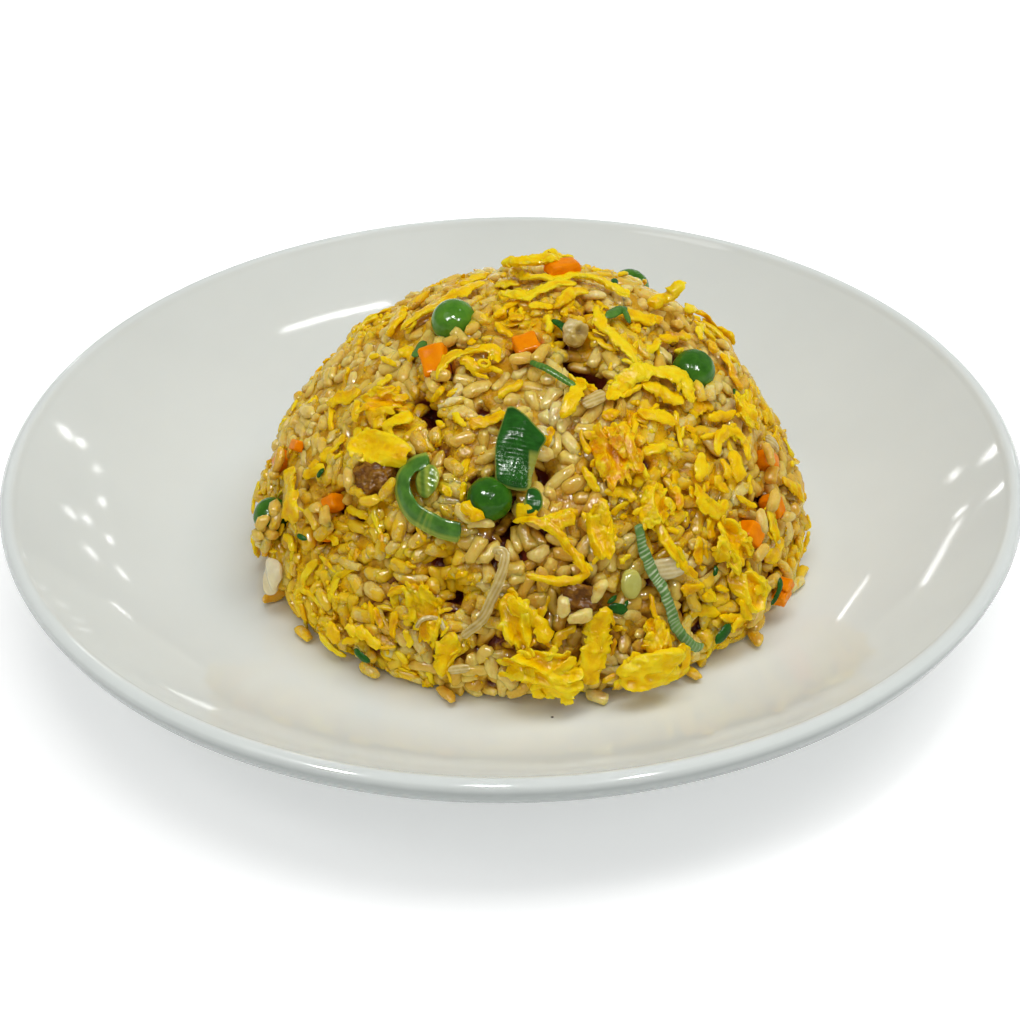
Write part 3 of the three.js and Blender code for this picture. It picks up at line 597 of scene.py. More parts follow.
def make_plate():
    inner, outer = FOOT_R - FOOT_W / 2, FOOT_R + FOOT_W / 2
    prof = [(0.0, FOOT_H)]
    for r in (20, 40, 52):
        prof.append((r, FOOT_H))
    # foot ring with rounded corners
    prof += [(inner - 2.0, FOOT_H), (inner - 1.0, FOOT_H - 0.35), (inner - 0.35, FOOT_H - 1.4), (inner, 0.7),
             (inner + 0.25, 0.2), (inner + 0.8, 0.0), (outer - 0.8, 0.0), (outer - 0.25, 0.2), (outer, 0.7),
             (outer + 0.5, 1.9), (outer + 1.2, 2.9), (outer + 2.4, 3.9)]
    key = [(68.5, 4.35)]
    for r in (74, 79, 84, 92, 98, 104, 110, 115.5):
        key.append((r + WALL * 0.42, float(inner_z(r)) - WALL * (0.98 - 0.25 * (r - 80) / 36)))
    prof += key
    prof += [(118.7, 26.6), (119.35, 28.1), (119.8, 29.2), (120.0, 30.0), (119.85, 30.8), (119.4, 31.45), (118.7, 31.9),
             (118.0, 32.0), (117.3, 31.85), (116.7, 31.45), (116.2, 30.8), (115.6, 30.25)]
    for r in np.linspace(114.6, 78.6, 22):
        prof.append((r, float(inner_z(r))))
    for r in (77, 70, 60, 45, 30, 15):
        prof.append((r, WELL_Z))
    prof.append((0.0, WELL_Z))
    prof = np.array(prof)
    sides, n = 224, len(prof) - 2
    a = np.arange(sides) * 2 * np.pi / sides
    ring = prof[1:-1]
    v = np.stack([ring[:, :1] * np.cos(a), ring[:, :1] * np.sin(a), np.repeat(ring[:, 1:], sides, 1)], -1).reshape(-1, 3)
    v = np.vstack([v, [[0, 0, prof[0, 1]], [0, 0, prof[-1, 1]]]])
    clay = np.repeat(((ring[:, 1] < 0.5) & (ring[:, 0] < 66)).astype(float), sides)
    rim = int(np.argmax(ring[:, 1]))
    k = np.arange(len(ring))
    # painted shade: the outside below the top of the rim is marked to be painted darker
    under = np.where(k < rim, np.clip((31.4 - ring[:, 1]) / 1.6, 0, 1), 0.0)
    Mesh().add(v, tube_faces(n, sides), clay=np.append(clay, [0, 0]), outer=np.append(np.repeat(under, sides), [1, 0])).build("plate_glazed", plate_material(), ["plate"], "plate_glaze")


make_plate()


# ---------------------------------------------------------------- what lies on the rice
ROOF = np.full(TAB_S.shape, -9.0)      # how deep the underside of what lies on the heap reaches, by direction
COVER = np.zeros(TAB_S.shape)          # 1 where a topping covers the heap
BALLS = []                             # solid things that grains keep clear of: x, y, z, radius


def roof_over(points, reach=1.3):
    """Notes the underside points of a topping, so that grains stay below it."""
    q = np.asarray(points).reshape(-1, 3) - O
    r = np.linalg.norm(q, axis=1)
    d = q / r[:, None]
    s = table_at(TAB_S, d)
    for (x, y, z), rr, ss in zip(d, r, s):
        t = math.degrees(math.asin(max(-1, min(1, z))))
        f = math.degrees(math.atan2(y, x)) % 360
        dt = math.degrees(reach / rr)
        df = min(dt / max(math.cos(math.radians(t)), 0.02), 180)
        jj = np.clip(np.arange(int((t - dt - T_LOW) * 2), int((t + dt - T_LOW) * 2) + 2), 0, TT - 1)
        ii = np.arange(int((f - df) * TP / 360), int((f + df) * TP / 360) + 2) % TP
        block = np.ix_(jj, ii)
        ROOF[block] = np.maximum(ROOF[block], ss - rr)
        COVER[block] = 1.0


def wavy(x, ids, seed, octaves=2):
    """Noise along x that differs from piece to piece."""
    x, ids = np.broadcast_arrays(np.asarray(x, float), ids)
    p = np.stack([x.ravel(), ids.ravel() + seed * 1.37, ids.ravel() * 0.37 + seed * 0.71], 1)
    return fractal(p, seed, octaves).reshape(x.shape)


def ridges(x, y, ids, seed, octaves=2):
    """0 to 1: crests that run along x, about one unit of y apart, with a wander."""
    x, y, ids = np.broadcast_arrays(x, y, np.asarray(ids, float))
    p = np.stack([x.ravel(), y.ravel(), ids.ravel()], 1)
    p[:, 1] += 0.5 * noise(p * [0.8, 0.4, 1] + 9.1, seed + 40)
    return np.clip(1.06 - 2.2 * np.abs(fractal(p, seed, octaves, 0.45)), 0, 1).reshape(x.shape)


def ribbons(mesh, c, n, left, right, thick, roll, s, ids, seed, cross=8, fold=0.22, gutter=0.16, square=0.8, paint=None, lift=None,
            crumb=0.0):
    """Closed ribbons. c, n: centre lines and the way out (m, k, 3); left, right, thick, roll, s: (m, k)."""
    m, k = left.shape
    t = unit(np.gradient(c, axis=1))
    n = unit(n - t * np.sum(n * t, -1, keepdims=True))
    side = np.cross(n, t)
    x = side * np.cos(roll)[..., None] + n * np.sin(roll)[..., None]
    y = np.cross(t, x)
    ang = (np.arange(cross) + 0.5) * 2 * np.pi / cross
    ex, ey = np.cos(ang), np.sin(ang)
    ex, ey = np.sign(ex) * np.abs(ex) ** square, np.sign(ey) * np.abs(ey) ** 0.9
    px = np.where(ex > 0, right[..., None], left[..., None]) * ex
    ids3 = ids[..., None] + np.zeros_like(px)
    s3 = s[..., None] + np.zeros_like(px)
    crest = ridges(s3 / 5.0, px / 1.15, ids3, seed + 7)
    half = thick[..., None] / 2
    py = half * ey * (1 - 0.55 * np.abs(ex) ** 3)
    py = py + gutter * (left + right)[..., None] * (ex ** 2 - 0.4) * wavy(s / 5.5, ids, seed + 9, 1)[..., None]
    py = py + fold * (crest - 0.5) * np.where(ey > 0, 1.0, 0.35) * np.minimum(1, half / 0.4)
    if lift is not None:
        py = py + lift(s3, ex + 0 * px)
    if crumb:
        q = np.stack([s3 / 1.15, px / 1.0, ids3 + 0.9 * ey], -1).reshape(-1, 3)
        py = py + crumb * fractal(q, seed + 17, 2).reshape(px.shape) * np.where(ey > 0, 1.0, 0.4)
        px = px * (1 + 0.16 * np.abs(ex) ** 2 * noise(q * 1.7 + 5, seed + 19).reshape(px.shape))
    v = c[:, :, None] + x[:, :, None] * px[..., None] + y[:, :, None] * py[..., None]
    ends = np.stack([c[:, 0] - t[:, 0] * 0.12, c[:, -1] + t[:, -1] * 0.12], 1)
    v = np.concatenate([v.reshape(m, -1, 3), ends], 1)
    faces = (tube_faces(k, cross)[None] + (np.arange(m) * v.shape[1])[:, None, None]).reshape(-1, 3)
    out = {}
    # painted light and shade: brighter on the crests and towards the edges, darker in the folds
    values = dict(ridge=np.clip(0.15 + 0.7 * crest + 0.35 * np.abs(ex) ** 4, 0, 1), su=s3, sv=px)
    if paint:
        values = paint(s3, ex + 0 * px, px)
    for key, a in values.items():
        a = np.broadcast_to(a, (m, k, cross))
        out[key] = np.concatenate([a.reshape(m, -1), a[:, 0].mean(-1)[:, None], a[:, -1].mean(-1)[:, None]], 1).ravel()
    mesh.add(v.reshape(-1, 3), faces, **out)
    return v, n


def per_piece(values, m, size):
    return np.repeat(np.broadcast_to(np.asarray(values, float), (m,)), size)


def shreds(mesh, p, ax, lift, length, width, thick, seed, steps=12, cross=8, wander=0.14, rise=0.45, roll=0.8, ragged=0.5,
           toast=0.0, tone=0.5, roof=False):
    """Torn ribbons of egg laid on the heap: p is the middle of each, ax the way it runs."""
    m = len(p)
    if not m:
        return
    col = lambda q: np.broadcast_to(np.asarray(q, float), (m,))[:, None]
    lift, length, width, thick = col(lift), col(length), col(width), col(thick)
    n0 = unit(table_at(TAB_N, unit(p - O)))
    ax = unit(ax - n0 * np.sum(ax * n0, -1, keepdims=True))
    sd = np.cross(n0, ax)
    ids = np.arange(m)[:, None] * 3.71 + seed * 11.3 + np.zeros((1, steps + 1))
    k = np.broadcast_to(np.linspace(0, 1, steps + 1), (m, steps + 1))
    s = (k - 0.5) * length
    q = p[:, None] + ax[:, None] * s[..., None] + sd[:, None] * (wander * length * wavy(s / 5.0, ids, seed))[..., None]
    d = unit(q - O)
    h = lift + rise * wavy(s / 2.8, ids + 40, seed + 1)
    n = unit(table_at(TAB_N, d))
    c = O + d * table_at(TAB_S, d)[..., None] + n * h[..., None]
    c[..., 2] = np.maximum(c[..., 2], ZB + 0.5)
    r = roll * wavy(s / 3.4, ids + 80, seed + 2)
    blunt = [0.62 + 0.30 * wavy(np.zeros((m, 1)), ids[:, :1] + w, seed + 5, 1) for w in (300, 340)]
    env = np.minimum(1, np.minimum(blunt[0] + 2.6 * k, blunt[1] + 2.6 * (1 - k)))
    env = env * np.clip(0.42 + np.minimum(k, 1 - k) * length / 0.9, 0, 1)
    hw = width / 2 * env
    sides = [hw * np.clip(1 + ragged * (1.1 * wavy(s / 1.7, ids + w, seed + 3) + 0.6 * wavy(s / 0.8, ids + w + 9, seed + 4)), 0.22, 1.8)
             for w in (120, 160)]
    before = mesh.n
    ribbons(mesh, c, n, sides[0], sides[1], thick * np.clip(0.35 + env, 0, 1), r, s, ids, seed, cross, fold=0.30, crumb=0.38)
    size = (mesh.n - before) // m
    mesh.attr.setdefault("toast", []).append(per_piece(toast, m, size))
    mesh.attr.setdefault("tone", []).append(per_piece(tone, m, size))
    if roof:
        roof_over(c[:, 1:-1:2] - n[:, 1:-1:2] * (thick / 2)[..., None], 0.9)


def closed_interp(e, a):
    """Smooth closed interpolation of e at angles a."""
    n = len(e)
    x = (a / (2 * np.pi) * n) % n
    i = np.floor(x).astype(int)
    f = x - i
    p = [e[(i + k) % n] for k in (-1, 0, 1, 2)]
    return 0.5 * (2 * p[1] + (p[2] - p[0]) * f + (2 * p[0] - 5 * p[1] + 4 * p[2] - p[3]) * f ** 2
                  + (3 * p[1] - p[0] - 3 * p[2] + p[3]) * f ** 3)


def sheet(mesh, o, tear=0.42, crumple=2.1, curl=1.0, wrinkle=0.30, toast=0.0, tone=0.5, rings=20, around=112, over=2, fingers=7,
          thin=0.60):
    """A torn sheet of egg: folds that run its way, thin edges that curl, and shreds that hang on to it."""
    f = Spot(o["phi"], o["theta"], o.get("spin", 0))
    sd = o["seed"]
    r = xorshift(sd)
    sides = 8 if o["l"] < 12 else 10
    e = np.array([1 - o.get("ragged", 0.22) * next(r) for _ in range(sides)])
    p0, p1 = next(r) * 6.28, next(r) * 6.28
    a = np.arange(around) * 2 * np.pi / around
    cs, sn = np.cos(a), np.sin(a)
    sq = (np.abs(cs) ** 2.6 + np.abs(sn) ** 2.6) ** (-1 / 2.6)
    L, W = o["l"] / 2, o["w"] / 2
    around_at = np.stack([cs * L, sn * W, np.full_like(a, sd * 3.1)], 1)
    notch = np.clip(fractal(around_at / 1.7, sd + 5, 2) - 0.02, 0, 1)
    lobe = fractal(around_at / 4.2, sd, 2)
    crest = ridges(around_at[:, 0] / 7.0, around_at[:, 1] / 2.1, sd * 1.7, sd + 1)
    edge = closed_interp(e, a) * (1.04 + tear * (0.55 * lobe - 1.2 * notch) + 0.22 * tear * (crest - 0.4))
    ex, ey = cs * sq * edge, sn * sq * edge * (1 - o.get("taper", 0) * np.maximum(cs, 0))

    def height(u, v, k):
        x, y = u / L, v / W
        h = o["lift"] + 0.12 * o["t"] + o.get("fold", 0.5) * np.sin(2.6 * x + p0) * np.cos(2.1 * y + p1) + o.get("turn", 0) * x ** 3
        big = ridges(u / 7.5 + 0.12 * v, v / 3.1 + 0.25 * np.sin(u / 3.4 + sd), sd * 1.7, sd + 1)
        small = ridges(u / 2.4, v / 1.7 + 0.3 * np.sin(u / 1.9), sd * 2.3, sd + 2)
        h = h + crumple * ((big - 0.45) * (0.6 + 0.4 * k) + 0.18 * (small - 0.45))
        z = np.stack([x * 1.5, y * 1.5, x * 0 + sd + 3], 1)
        down = np.clip(noise(z, sd + 3) + 0.35, 0, 1)
        up = np.clip(noise(z + 5, sd + 4), 0, 1)
        return h - k ** 5 * down * (o["lift"] + 0.2) * 0.8 + curl * k ** 4 * up * 1.8, big, small

    def points(ks):
        u = (ks[:, None] * ex).ravel() * L
        v = (ks[:, None] * ey).ravel() * W
        return u, v, np.repeat(ks, around)

    ks = np.linspace(0, 1, rings + 1)[1:] ** 0.85
    u, v, k = points(ks)
    u, v, k = np.append(u, 0), np.append(v, 0), np.append(k, 0)
    h, big, small = height(u, v, k)
    half = o["t"] / 2 * thin * (0.30 + 0.70 * np.sqrt(np.clip(1 - k ** 3, 0, 1)))
    fine = 1.0 * wrinkle * fractal(np.stack([u / 1.5, v / 1.1, u * 0 + sd], 1), sd + 11, 3)
    top = f.on(u, v, h + half + fine)
    kl = np.array([0.35, 0.7, 0.9, 1.0])
    ul, vl, kk = points(kl)
    ul, vl, kk = np.append(ul, 0), np.append(vl, 0), np.append(kk, 0)
    hl, _, _ = height(ul, vl, kk)
    halfl = o["t"] / 2 * thin * (0.30 + 0.70 * np.sqrt(np.clip(1 - kk ** 3, 0, 1)))
    low = f.on(ul, vl, hl - halfl)
    nt, nl = rings * around, 4 * around
    e_top, e_low = np.arange((rings - 1) * around, nt), np.arange(3 * around, nl)
    rim = (top[e_top] + low[e_low]) / 2 + unit(top[e_top] - top[nt]) * 0.16
    jj = np.arange(around)
    j2 = (jj + 1) % around

    def disc(rows, base, centre):
        i, j = np.meshgrid(np.arange(rows - 1), jj, indexing="ij")
        q = (j + 1) % around
        A, B, C, D = base + i * around + j, base + i * around + q, base + (i + 1) * around + q, base + (i + 1) * around + j
        fan = np.stack([np.full(around, centre), base + jj, base + j2], -1)
        return np.concatenate([np.stack([A, D, C], -1).reshape(-1, 3), np.stack([A, C, B], -1).reshape(-1, 3), fan])

    bl, br = nt + 1, nt + 1 + nl + 1
    upper, lower = disc(rings, 0, nt), disc(4, bl, bl + nl)[:, ::-1]
    et, el = (rings - 1) * around, bl + 3 * around
    side = np.concatenate([np.stack([et + jj, br + jj, br + j2], -1), np.stack([et + jj, br + j2, et + j2], -1),
                           np.stack([br + jj, el + jj, el + j2], -1), np.stack([br + jj, el + j2, br + j2], -1)])
    # painted light and shade: brighter on the crests of the folds and at the rim, darker in the folds between them
    rg = np.clip(-0.02 + 0.66 * big + 0.34 * small + 0.30 * k ** 6, 0, 1)
    mesh.add(np.vstack([top, low, rim]), np.concatenate([upper, lower, side]),
             ridge=np.concatenate([rg, np.full(nl + 1, 0.3), np.full(around, 0.95)]),
             su=np.concatenate([u, ul, ex * L]), sv=np.concatenate([v, vl, ey * W]))
    mesh.attr.setdefault("toast", []).append(np.full(nt + nl + 2 + around, float(toast)))
    mesh.attr.setdefault("tone", []).append(np.full(nt + nl + 2 + around, float(tone)))
    roof_over(low[kk < 0.95][::3])
    rs = np.random.RandomState(sd)
    # shreds that lie over it
    at = rs.randint(0, around, over)
    kq = np.sqrt(rs.uniform(0.02, 0.6, over))
    uu, vv = ex[at] * kq * L, ey[at] * kq * W
    hh, _, _ = height(uu, vv, kq)
    turn = rs.randn(over) * 0.45
    shreds(mesh, f.p + f.a * uu[:, None] + f.b * vv[:, None], f.a * np.cos(turn)[:, None] + f.b * np.sin(turn)[:, None],
           hh + 0.10 * o["t"] + rs.uniform(-0.1, 0.3, over), rs.uniform(0.28, 0.5, over) * o["l"], rs.uniform(1.6, 3.2, over),
           rs.uniform(0.7, 1.1, over), sd + 1, steps=14, cross=10, roll=0.4, toast=toast, tone=tone + rs.uniform(-0.3, 0.3, over))
    # torn fingers round the edge
    at = (np.arange(fingers) * around / fingers + rs.uniform(0, around / fingers, fingers)).astype(int) % around
    uu, vv = ex[at] * L * 0.98, ey[at] * W * 0.98
    hh, _, _ = height(uu, vv, np.full(fingers, 1.0))
    out = unit(np.stack([cs[at] * 1.5, sn[at]], 1) + rs.randn(fingers, 2) * 0.45)
    shreds(mesh, f.p + f.a * uu[:, None] + f.b * vv[:, None], f.a * out[:, :1] + f.b * out[:, 1:],
           np.maximum(hh, 0.2) + rs.uniform(-0.4, 0.2, fingers), rs.uniform(1.8, 4.0, fingers), rs.uniform(1.0, 2.2, fingers), 0.6, sd + 2,
           steps=8, cross=7, toast=toast, tone=tone + rs.uniform(-0.2, 0.4, fingers))
    return mesh


def strand(mesh, o, ragged=0.42, fold=0.30, twist=0.5, toast=0.0, tone=0.5, fingers=5, per_mm=2.3, cross=14, seed=None, thin=0.75):
    """One named shred of egg along its line."""
    _, length = catmull(o["line"], 8)
    steps = int(max(18, length * per_mm))
    seed = seed or int(abs(o["phi"] * 7 + o["theta"] * 3)) + 3
    f = Spot(o["phi"], o["theta"])
    line, length = catmull(o["line"], steps)
    k = np.linspace(0, 1, steps + 1)[None]
    s = k * length
    ids = np.full_like(s, seed * 1.9)
    u = line[:, 0] + 0.32 * wavy(s / 2.3, ids, 11)[0]
    v = line[:, 1] + 0.32 * wavy(s / 2.3, ids, 12)[0]
    c = f.on(u, v, line[:, 2] + o["lift"] + 0.25 * wavy(s / 2.0, ids, 13)[0])
    n = unit(table_at(TAB_N, unit(c - O)))
    env = np.minimum(1, o.get("tips", 0.5) + (1 - o.get("tips", 0.5)) * 4 * np.minimum(k, 1 - k))
    env = env * np.clip(0.35 + np.minimum(k, 1 - k) * length / 1.1, 0, 1)
    hw = o["w"] / 2 * env
    sides = [hw * np.clip(1 + ragged * (1.1 * wavy(s / 1.9, ids + w, 14) + 0.7 * wavy(s / 0.8, ids + w, 15)), 0.3, 1.7) for w in (20, 30)]
    roll = math.radians(o.get("roll", 0)) + twist * wavy(s / 5.0, ids, 16, 1)
    thick = o["t"] * thin * np.clip(0.75 + 0.35 * wavy(s / 2.0, ids, 17) + 0 * s, 0.45, 1.2) * np.clip(env + 0.2, 0, 1)
    before = mesh.n
    ribbons(mesh, c[None], n[None], sides[0], sides[1], thick, roll, s, ids, seed, cross, fold=fold, crumb=0.40)
    mesh.attr.setdefault("toast", []).append(np.full(mesh.n - before, float(toast)))
    mesh.attr.setdefault("tone", []).append(np.full(mesh.n - before, float(tone)))
    roof_over(c - n * (o["t"] / 2), reach=max(0.9, o["w"] * 0.40))
    if fingers:
        rs = np.random.RandomState(seed)
        at = rs.randint(1, steps, fingers)
        t = unit(np.gradient(c, axis=0))[at]
        sd = np.cross(n[at], t) * rs.choice([-1, 1], fingers)[:, None]
        p = c[at] + sd * (o["w"] * 0.36)
        ax = unit(t * rs.choice([-1, 1], fingers)[:, None] + sd * rs.uniform(0.1, 0.9, fingers)[:, None])
        h = (line[:, 2] + o["lift"])[at] + rs.uniform(-0.5, 0.2, fingers)
        shreds(mesh, p, ax, h, rs.uniform(1.8, 4.0, fingers), rs.uniform(0.6, 1.4, fingers), 0.6, seed + 1, steps=7, cross=6,
               toast=toast, tone=tone + rs.uniform(-0.2, 0.4, fingers))
    return mesh


EGGS = {
    "egg_01": dict(phi=-134.9, theta=43.8, l=16, w=8.2, t=2.4, lift=1.3, spin=14, seed=51, taper=0.3, turn=0.5),
    "egg_02": dict(phi=-45.2, theta=56.4, w=4.4, t=2.2, lift=1.4, line=[[-10.8, 2.9], [-3.1, 4.6], [2.9, 2.9], [7.1, -1.6], [6.3, -7.1]]),
    "egg_03": dict(phi=-67.7, theta=47.4, l=17, w=10, t=2.4, lift=0.9, spin=-96, seed=53, ragged=0.3),
    "egg_04": dict(phi=-69.6, theta=7.5, l=14.4, w=8.8, t=3, lift=2.4, spin=4, seed=55, ragged=0.14),
    "egg_05": dict(phi=-89.5, theta=9.4, l=17, w=10.6, t=2.4, lift=1.4, spin=-6, seed=57, ragged=0.26),
    "egg_06": dict(phi=88.7, theta=82.5, w=4.2, t=2.6, lift=3.7, line=[[6.2, -2.8, -1.2], [2, 0.7, 0.6], [-2.3, 0.1, 0.6], [-6.4, 0.2, -0.2]]),
    "egg_07": dict(phi=3, theta=64, w=3.6, t=2.8, lift=0.9, tips=0.8, line=[[-1, 3, -0.8], [0, 1, 0.8], [0, -0.6, 2.8], [0.3, -1.4, 4.8], [0.9, -2.4, 5.6]]),
    "egg_08": dict(phi=-123.1, theta=67, w=2.8, t=1.8, lift=1.5, roll=-18, line=[[-4.4, -6.4], [-4.6, -2.1], [-1.1, 1.9], [3, 5], [6.2, 2.4]]),
    "egg_09": dict(phi=-75.6, theta=33.7, l=13, w=5.6, t=2.2, lift=1.3, spin=-92, seed=59, ragged=0.2),
    "egg_10": dict(phi=-46, theta=22.6, l=12.6, w=9.6, t=2.6, lift=1.3, spin=-75, seed=61, ragged=0.26),
    "egg_11": dict(phi=-31.6, theta=21.6, w=2.8, t=1.8, lift=1.5, line=[[3.2, 4.6], [-0.1, 0.4], [-2.6, -4.6]]),
    "egg_12": dict(phi=-32, theta=38.5, w=3, t=1.8, lift=1.2, line=[[-5.6, 1], [-1.3, 3.4], [3.1, 2], [3.8, -1.8], [1.4, -5]]),
    "egg_13": dict(phi=-79.4, theta=12.4, w=5.4, t=2.2, lift=1.4, line=[[2.7, 9], [0.5, 2.5], [-1.1, -3], [-1.4, -8]]),
    "egg_14": dict(phi=-106.9, theta=10.6, w=4.8, t=2, lift=1.3, line=[[0.9, 5.2], [-0.3, 0.4], [-1.1, -5]]),
    "egg_15": dict(phi=-93.9, theta=18.8, l=12.4, w=7, t=2.3, lift=1.0, spin=-79, seed=65, ragged=0.24),
    "egg_16": dict(phi=-112.3, theta=17.4, l=12.4, w=9.6, t=2.2, lift=0.5, spin=-49, seed=67, ragged=0.34),
    "egg_17": dict(phi=-67.3, theta=12.2, l=9.6, w=7.6, t=2.2, lift=0.9, spin=-89, seed=69, ragged=0.24),
    "egg_18": dict(phi=-62.1, theta=36.4, l=10, w=7.6, t=2.2, lift=0.9, spin=-106, seed=71, ragged=0.34),
    "egg_19": dict(phi=-46.6, theta=32.4, w=3.4, t=2, lift=1.2, line=[[-2, 5], [-2.1, 0.2], [0.8, -2.8], [4.2, -1.6]]),
    "egg_20": dict(phi=-44.6, theta=13.6, l=11.4, w=9.6, t=2.2, lift=0.8, spin=-87, seed=73, ragged=0.36),
    "egg_21": dict(phi=-87.4, theta=31.6, w=2.2, t=1.6, lift=2.1, line=[[-7.5, 6.3, -0.6], [-2.4, 6.1, 0.3], [1, 4, 0.4], [5.2, -1.6, 0.2], [7.4, -5.4, -0.2], [2.1, -6.7, -0.6], [-5, -5, -0.9]]),
    "egg_22": dict(phi=-154.6, theta=25.4, w=6.4, t=2.2, lift=1.1, line=[[-7, 3.5], [-3.4, 0.4], [2.3, -1.4], [6.4, -2.5]]),
    "egg_23": dict(phi=172.9, theta=71.1, w=4, t=2.2, lift=1.0, line=[[4.2, -10.3], [1.8, -3.8], [-3.3, 2.8], [-8.4, 9.5]]),
    "egg_24": dict(phi=-145.7, theta=51.4, l=11.6, w=9.4, t=2.1, lift=0.7, spin=58, seed=75, ragged=0.34),
    "egg_25": dict(phi=-43.9, theta=68.7, w=3.2, t=2, lift=1.4, line=[[3.2, 8.6], [-0.1, 3.7], [0, 0.7], [-0.3, -4], [-1.2, -8.2]]),
    "egg_26": dict(phi=-75.3, theta=60.6, w=3.2, t=2, lift=1.5, line=[[-3.8, -4.9], [-0.9, -1.9], [2.4, 2], [2.6, 5.3]]),
    "egg_27": dict(phi=-18.7, theta=40, l=8.8, w=6.8, t=2.1, lift=0.8, spin=-104, seed=77, ragged=0.24),
    "egg_28": dict(phi=24, theta=82.4, w=3.4, t=2.2, lift=1.2, line=[[12.6, 7.1], [4.0, 6.2], [0.2, 2.5], [0.6, -3.5], [-3.4, -7], [-8.3, -11.7]]),
    "egg_29": dict(phi=-45.8, theta=87.9, w=3, t=2, lift=1.2, line=[[-4.5, 7.7], [-3.1, 0.8], [2.8, -1.8], [6.3, -5.3]]),
    "egg_30": dict(phi=-59.9, theta=26.7, w=2.4, t=1.6, lift=1.2, line=[[-2, 7.8], [-1.5, 2], [0.8, -3.2], [3.3, -6.8]]),
    "egg_31": dict(phi=84, theta=54, l=13.5, w=8.6, t=2.2, lift=0.9, spin=35, seed=79, ragged=0.26),
}
TOAST = {"egg_03": 0.8, "egg_22": 0.35, "egg_16": 0.2, "egg_24": 0.35, "egg_17": 0.25, "egg_10": 0.1}
WAYS = {
    "egg_01": dict(tear=0.10, crumple=0.55, curl=1.8, wrinkle=0.07, over=0, fingers=3, thin=0.5, tone=0.55),
    "egg_03": dict(over=5, crumple=2.2, tone=0.5),
    "egg_04": dict(tear=0.16, crumple=2.3, curl=0.2, wrinkle=0.36, over=3, fingers=4, thin=0.9),
    "egg_05": dict(over=4, fingers=12, crumple=2.6, tone=0.65),
    "egg_09": dict(tear=0.20, crumple=0.9, over=1, fingers=4, tone=0.35),
    "egg_16": dict(over=5, fingers=12),
    "egg_02": dict(ragged=0.5, fold=0.55, fingers=8, per_mm=2.8, cross=18, tone=0.9),
    "egg_06": dict(ragged=0.4, fold=0.5, fingers=7, tone=0.8, cross=18, thin=1.1),
    "egg_07": dict(ragged=0.3, fold=0.4, fingers=3, tone=0.7, cross=16, thin=1.1),
    "egg_28": dict(ragged=0.5, fold=0.5, fingers=9, tone=0.9, cross=18),
    "egg_29": dict(ragged=0.4, fold=0.4, fingers=6, tone=0.9),
    "egg_21": dict(ragged=0.25, fold=0.16, fingers=4, twist=0.7),
    "egg_25": dict(ragged=0.55, fingers=9, tone=0.85),
    "egg_13": dict(ragged=0.5, fold=0.4, fingers=7, cross=18),
    "egg_14": dict(ragged=0.45, fold=0.4, fingers=5, cross=18),
    "egg_22": dict(ragged=0.5, fold=0.4, fingers=8, cross=18),
}
for name, o in EGGS.items():
    m = Mesh()
    (strand if "line" in o else sheet)(m, o, toast=TOAST.get(name, 0.0), **WAYS.get(name, {}))
    m.build(name + "_curd", EGG, [name], "egg")


def peas():
    rows = [("pea_1", -159, 73.3, 10.4, -0.6, 0.85, 0.15), ("pea_2", -23.7, 53.9, 10, 1.2, 0.30, 0.6),
            ("pea_3", -101.6, 40.8, 9.8, -0.6, 0.10, 0.35), ("pea_4", -163, 15.7, 9.2, -0.6, 0.35, 0.3), ("pea_5", 58, 43, 9.7, 0.2, 0.5, 0.4)]
    ball, tri = icosphere(4)
    for i, (name, phi, theta, d, lift, light, wrinkle) in enumerate(rows):
        f = Spot(phi, theta)
        r = d / 2
        q = ball * 1.1 + i * 3.3
        dent = np.maximum(0, noise(q * 0.9, i) - 0.15) * 0.12 * (0.4 + wrinkle)
        line = np.exp(-(noise(q * 1.5, i + 20) / 0.07) ** 2) * np.clip(noise(q * 1.1, i + 30) + 0.4, 0, 1)
        rr = r * (1 - dent - 0.035 * wrinkle * line + 0.008 * fractal(q * 4, i + 9, 2))
        v = ball * rr[:, None] * [1, 0.98, 0.94]
        p = f.p + f.n * lift + v[:, :1] * f.a + v[:, 1:2] * f.b + v[:, 2:] * f.n
        # painted shade along the wrinkle lines goes with each pea
        Mesh().add(p, tri, pick=np.clip(light + 0.25 * noise(q, 5), 0, 1), crease=0.6 * line * wrinkle).build(name + "_skin", PEA, [name], "pea")
        c = f.p + f.n * lift
        BALLS.append([*c, r - 0.5])
        low = (ball[:, 2] < 0.1) & (np.hypot(ball[:, 0], ball[:, 1]) < 0.86)
        roof_over(p[low][::6], 1.2)


peas()


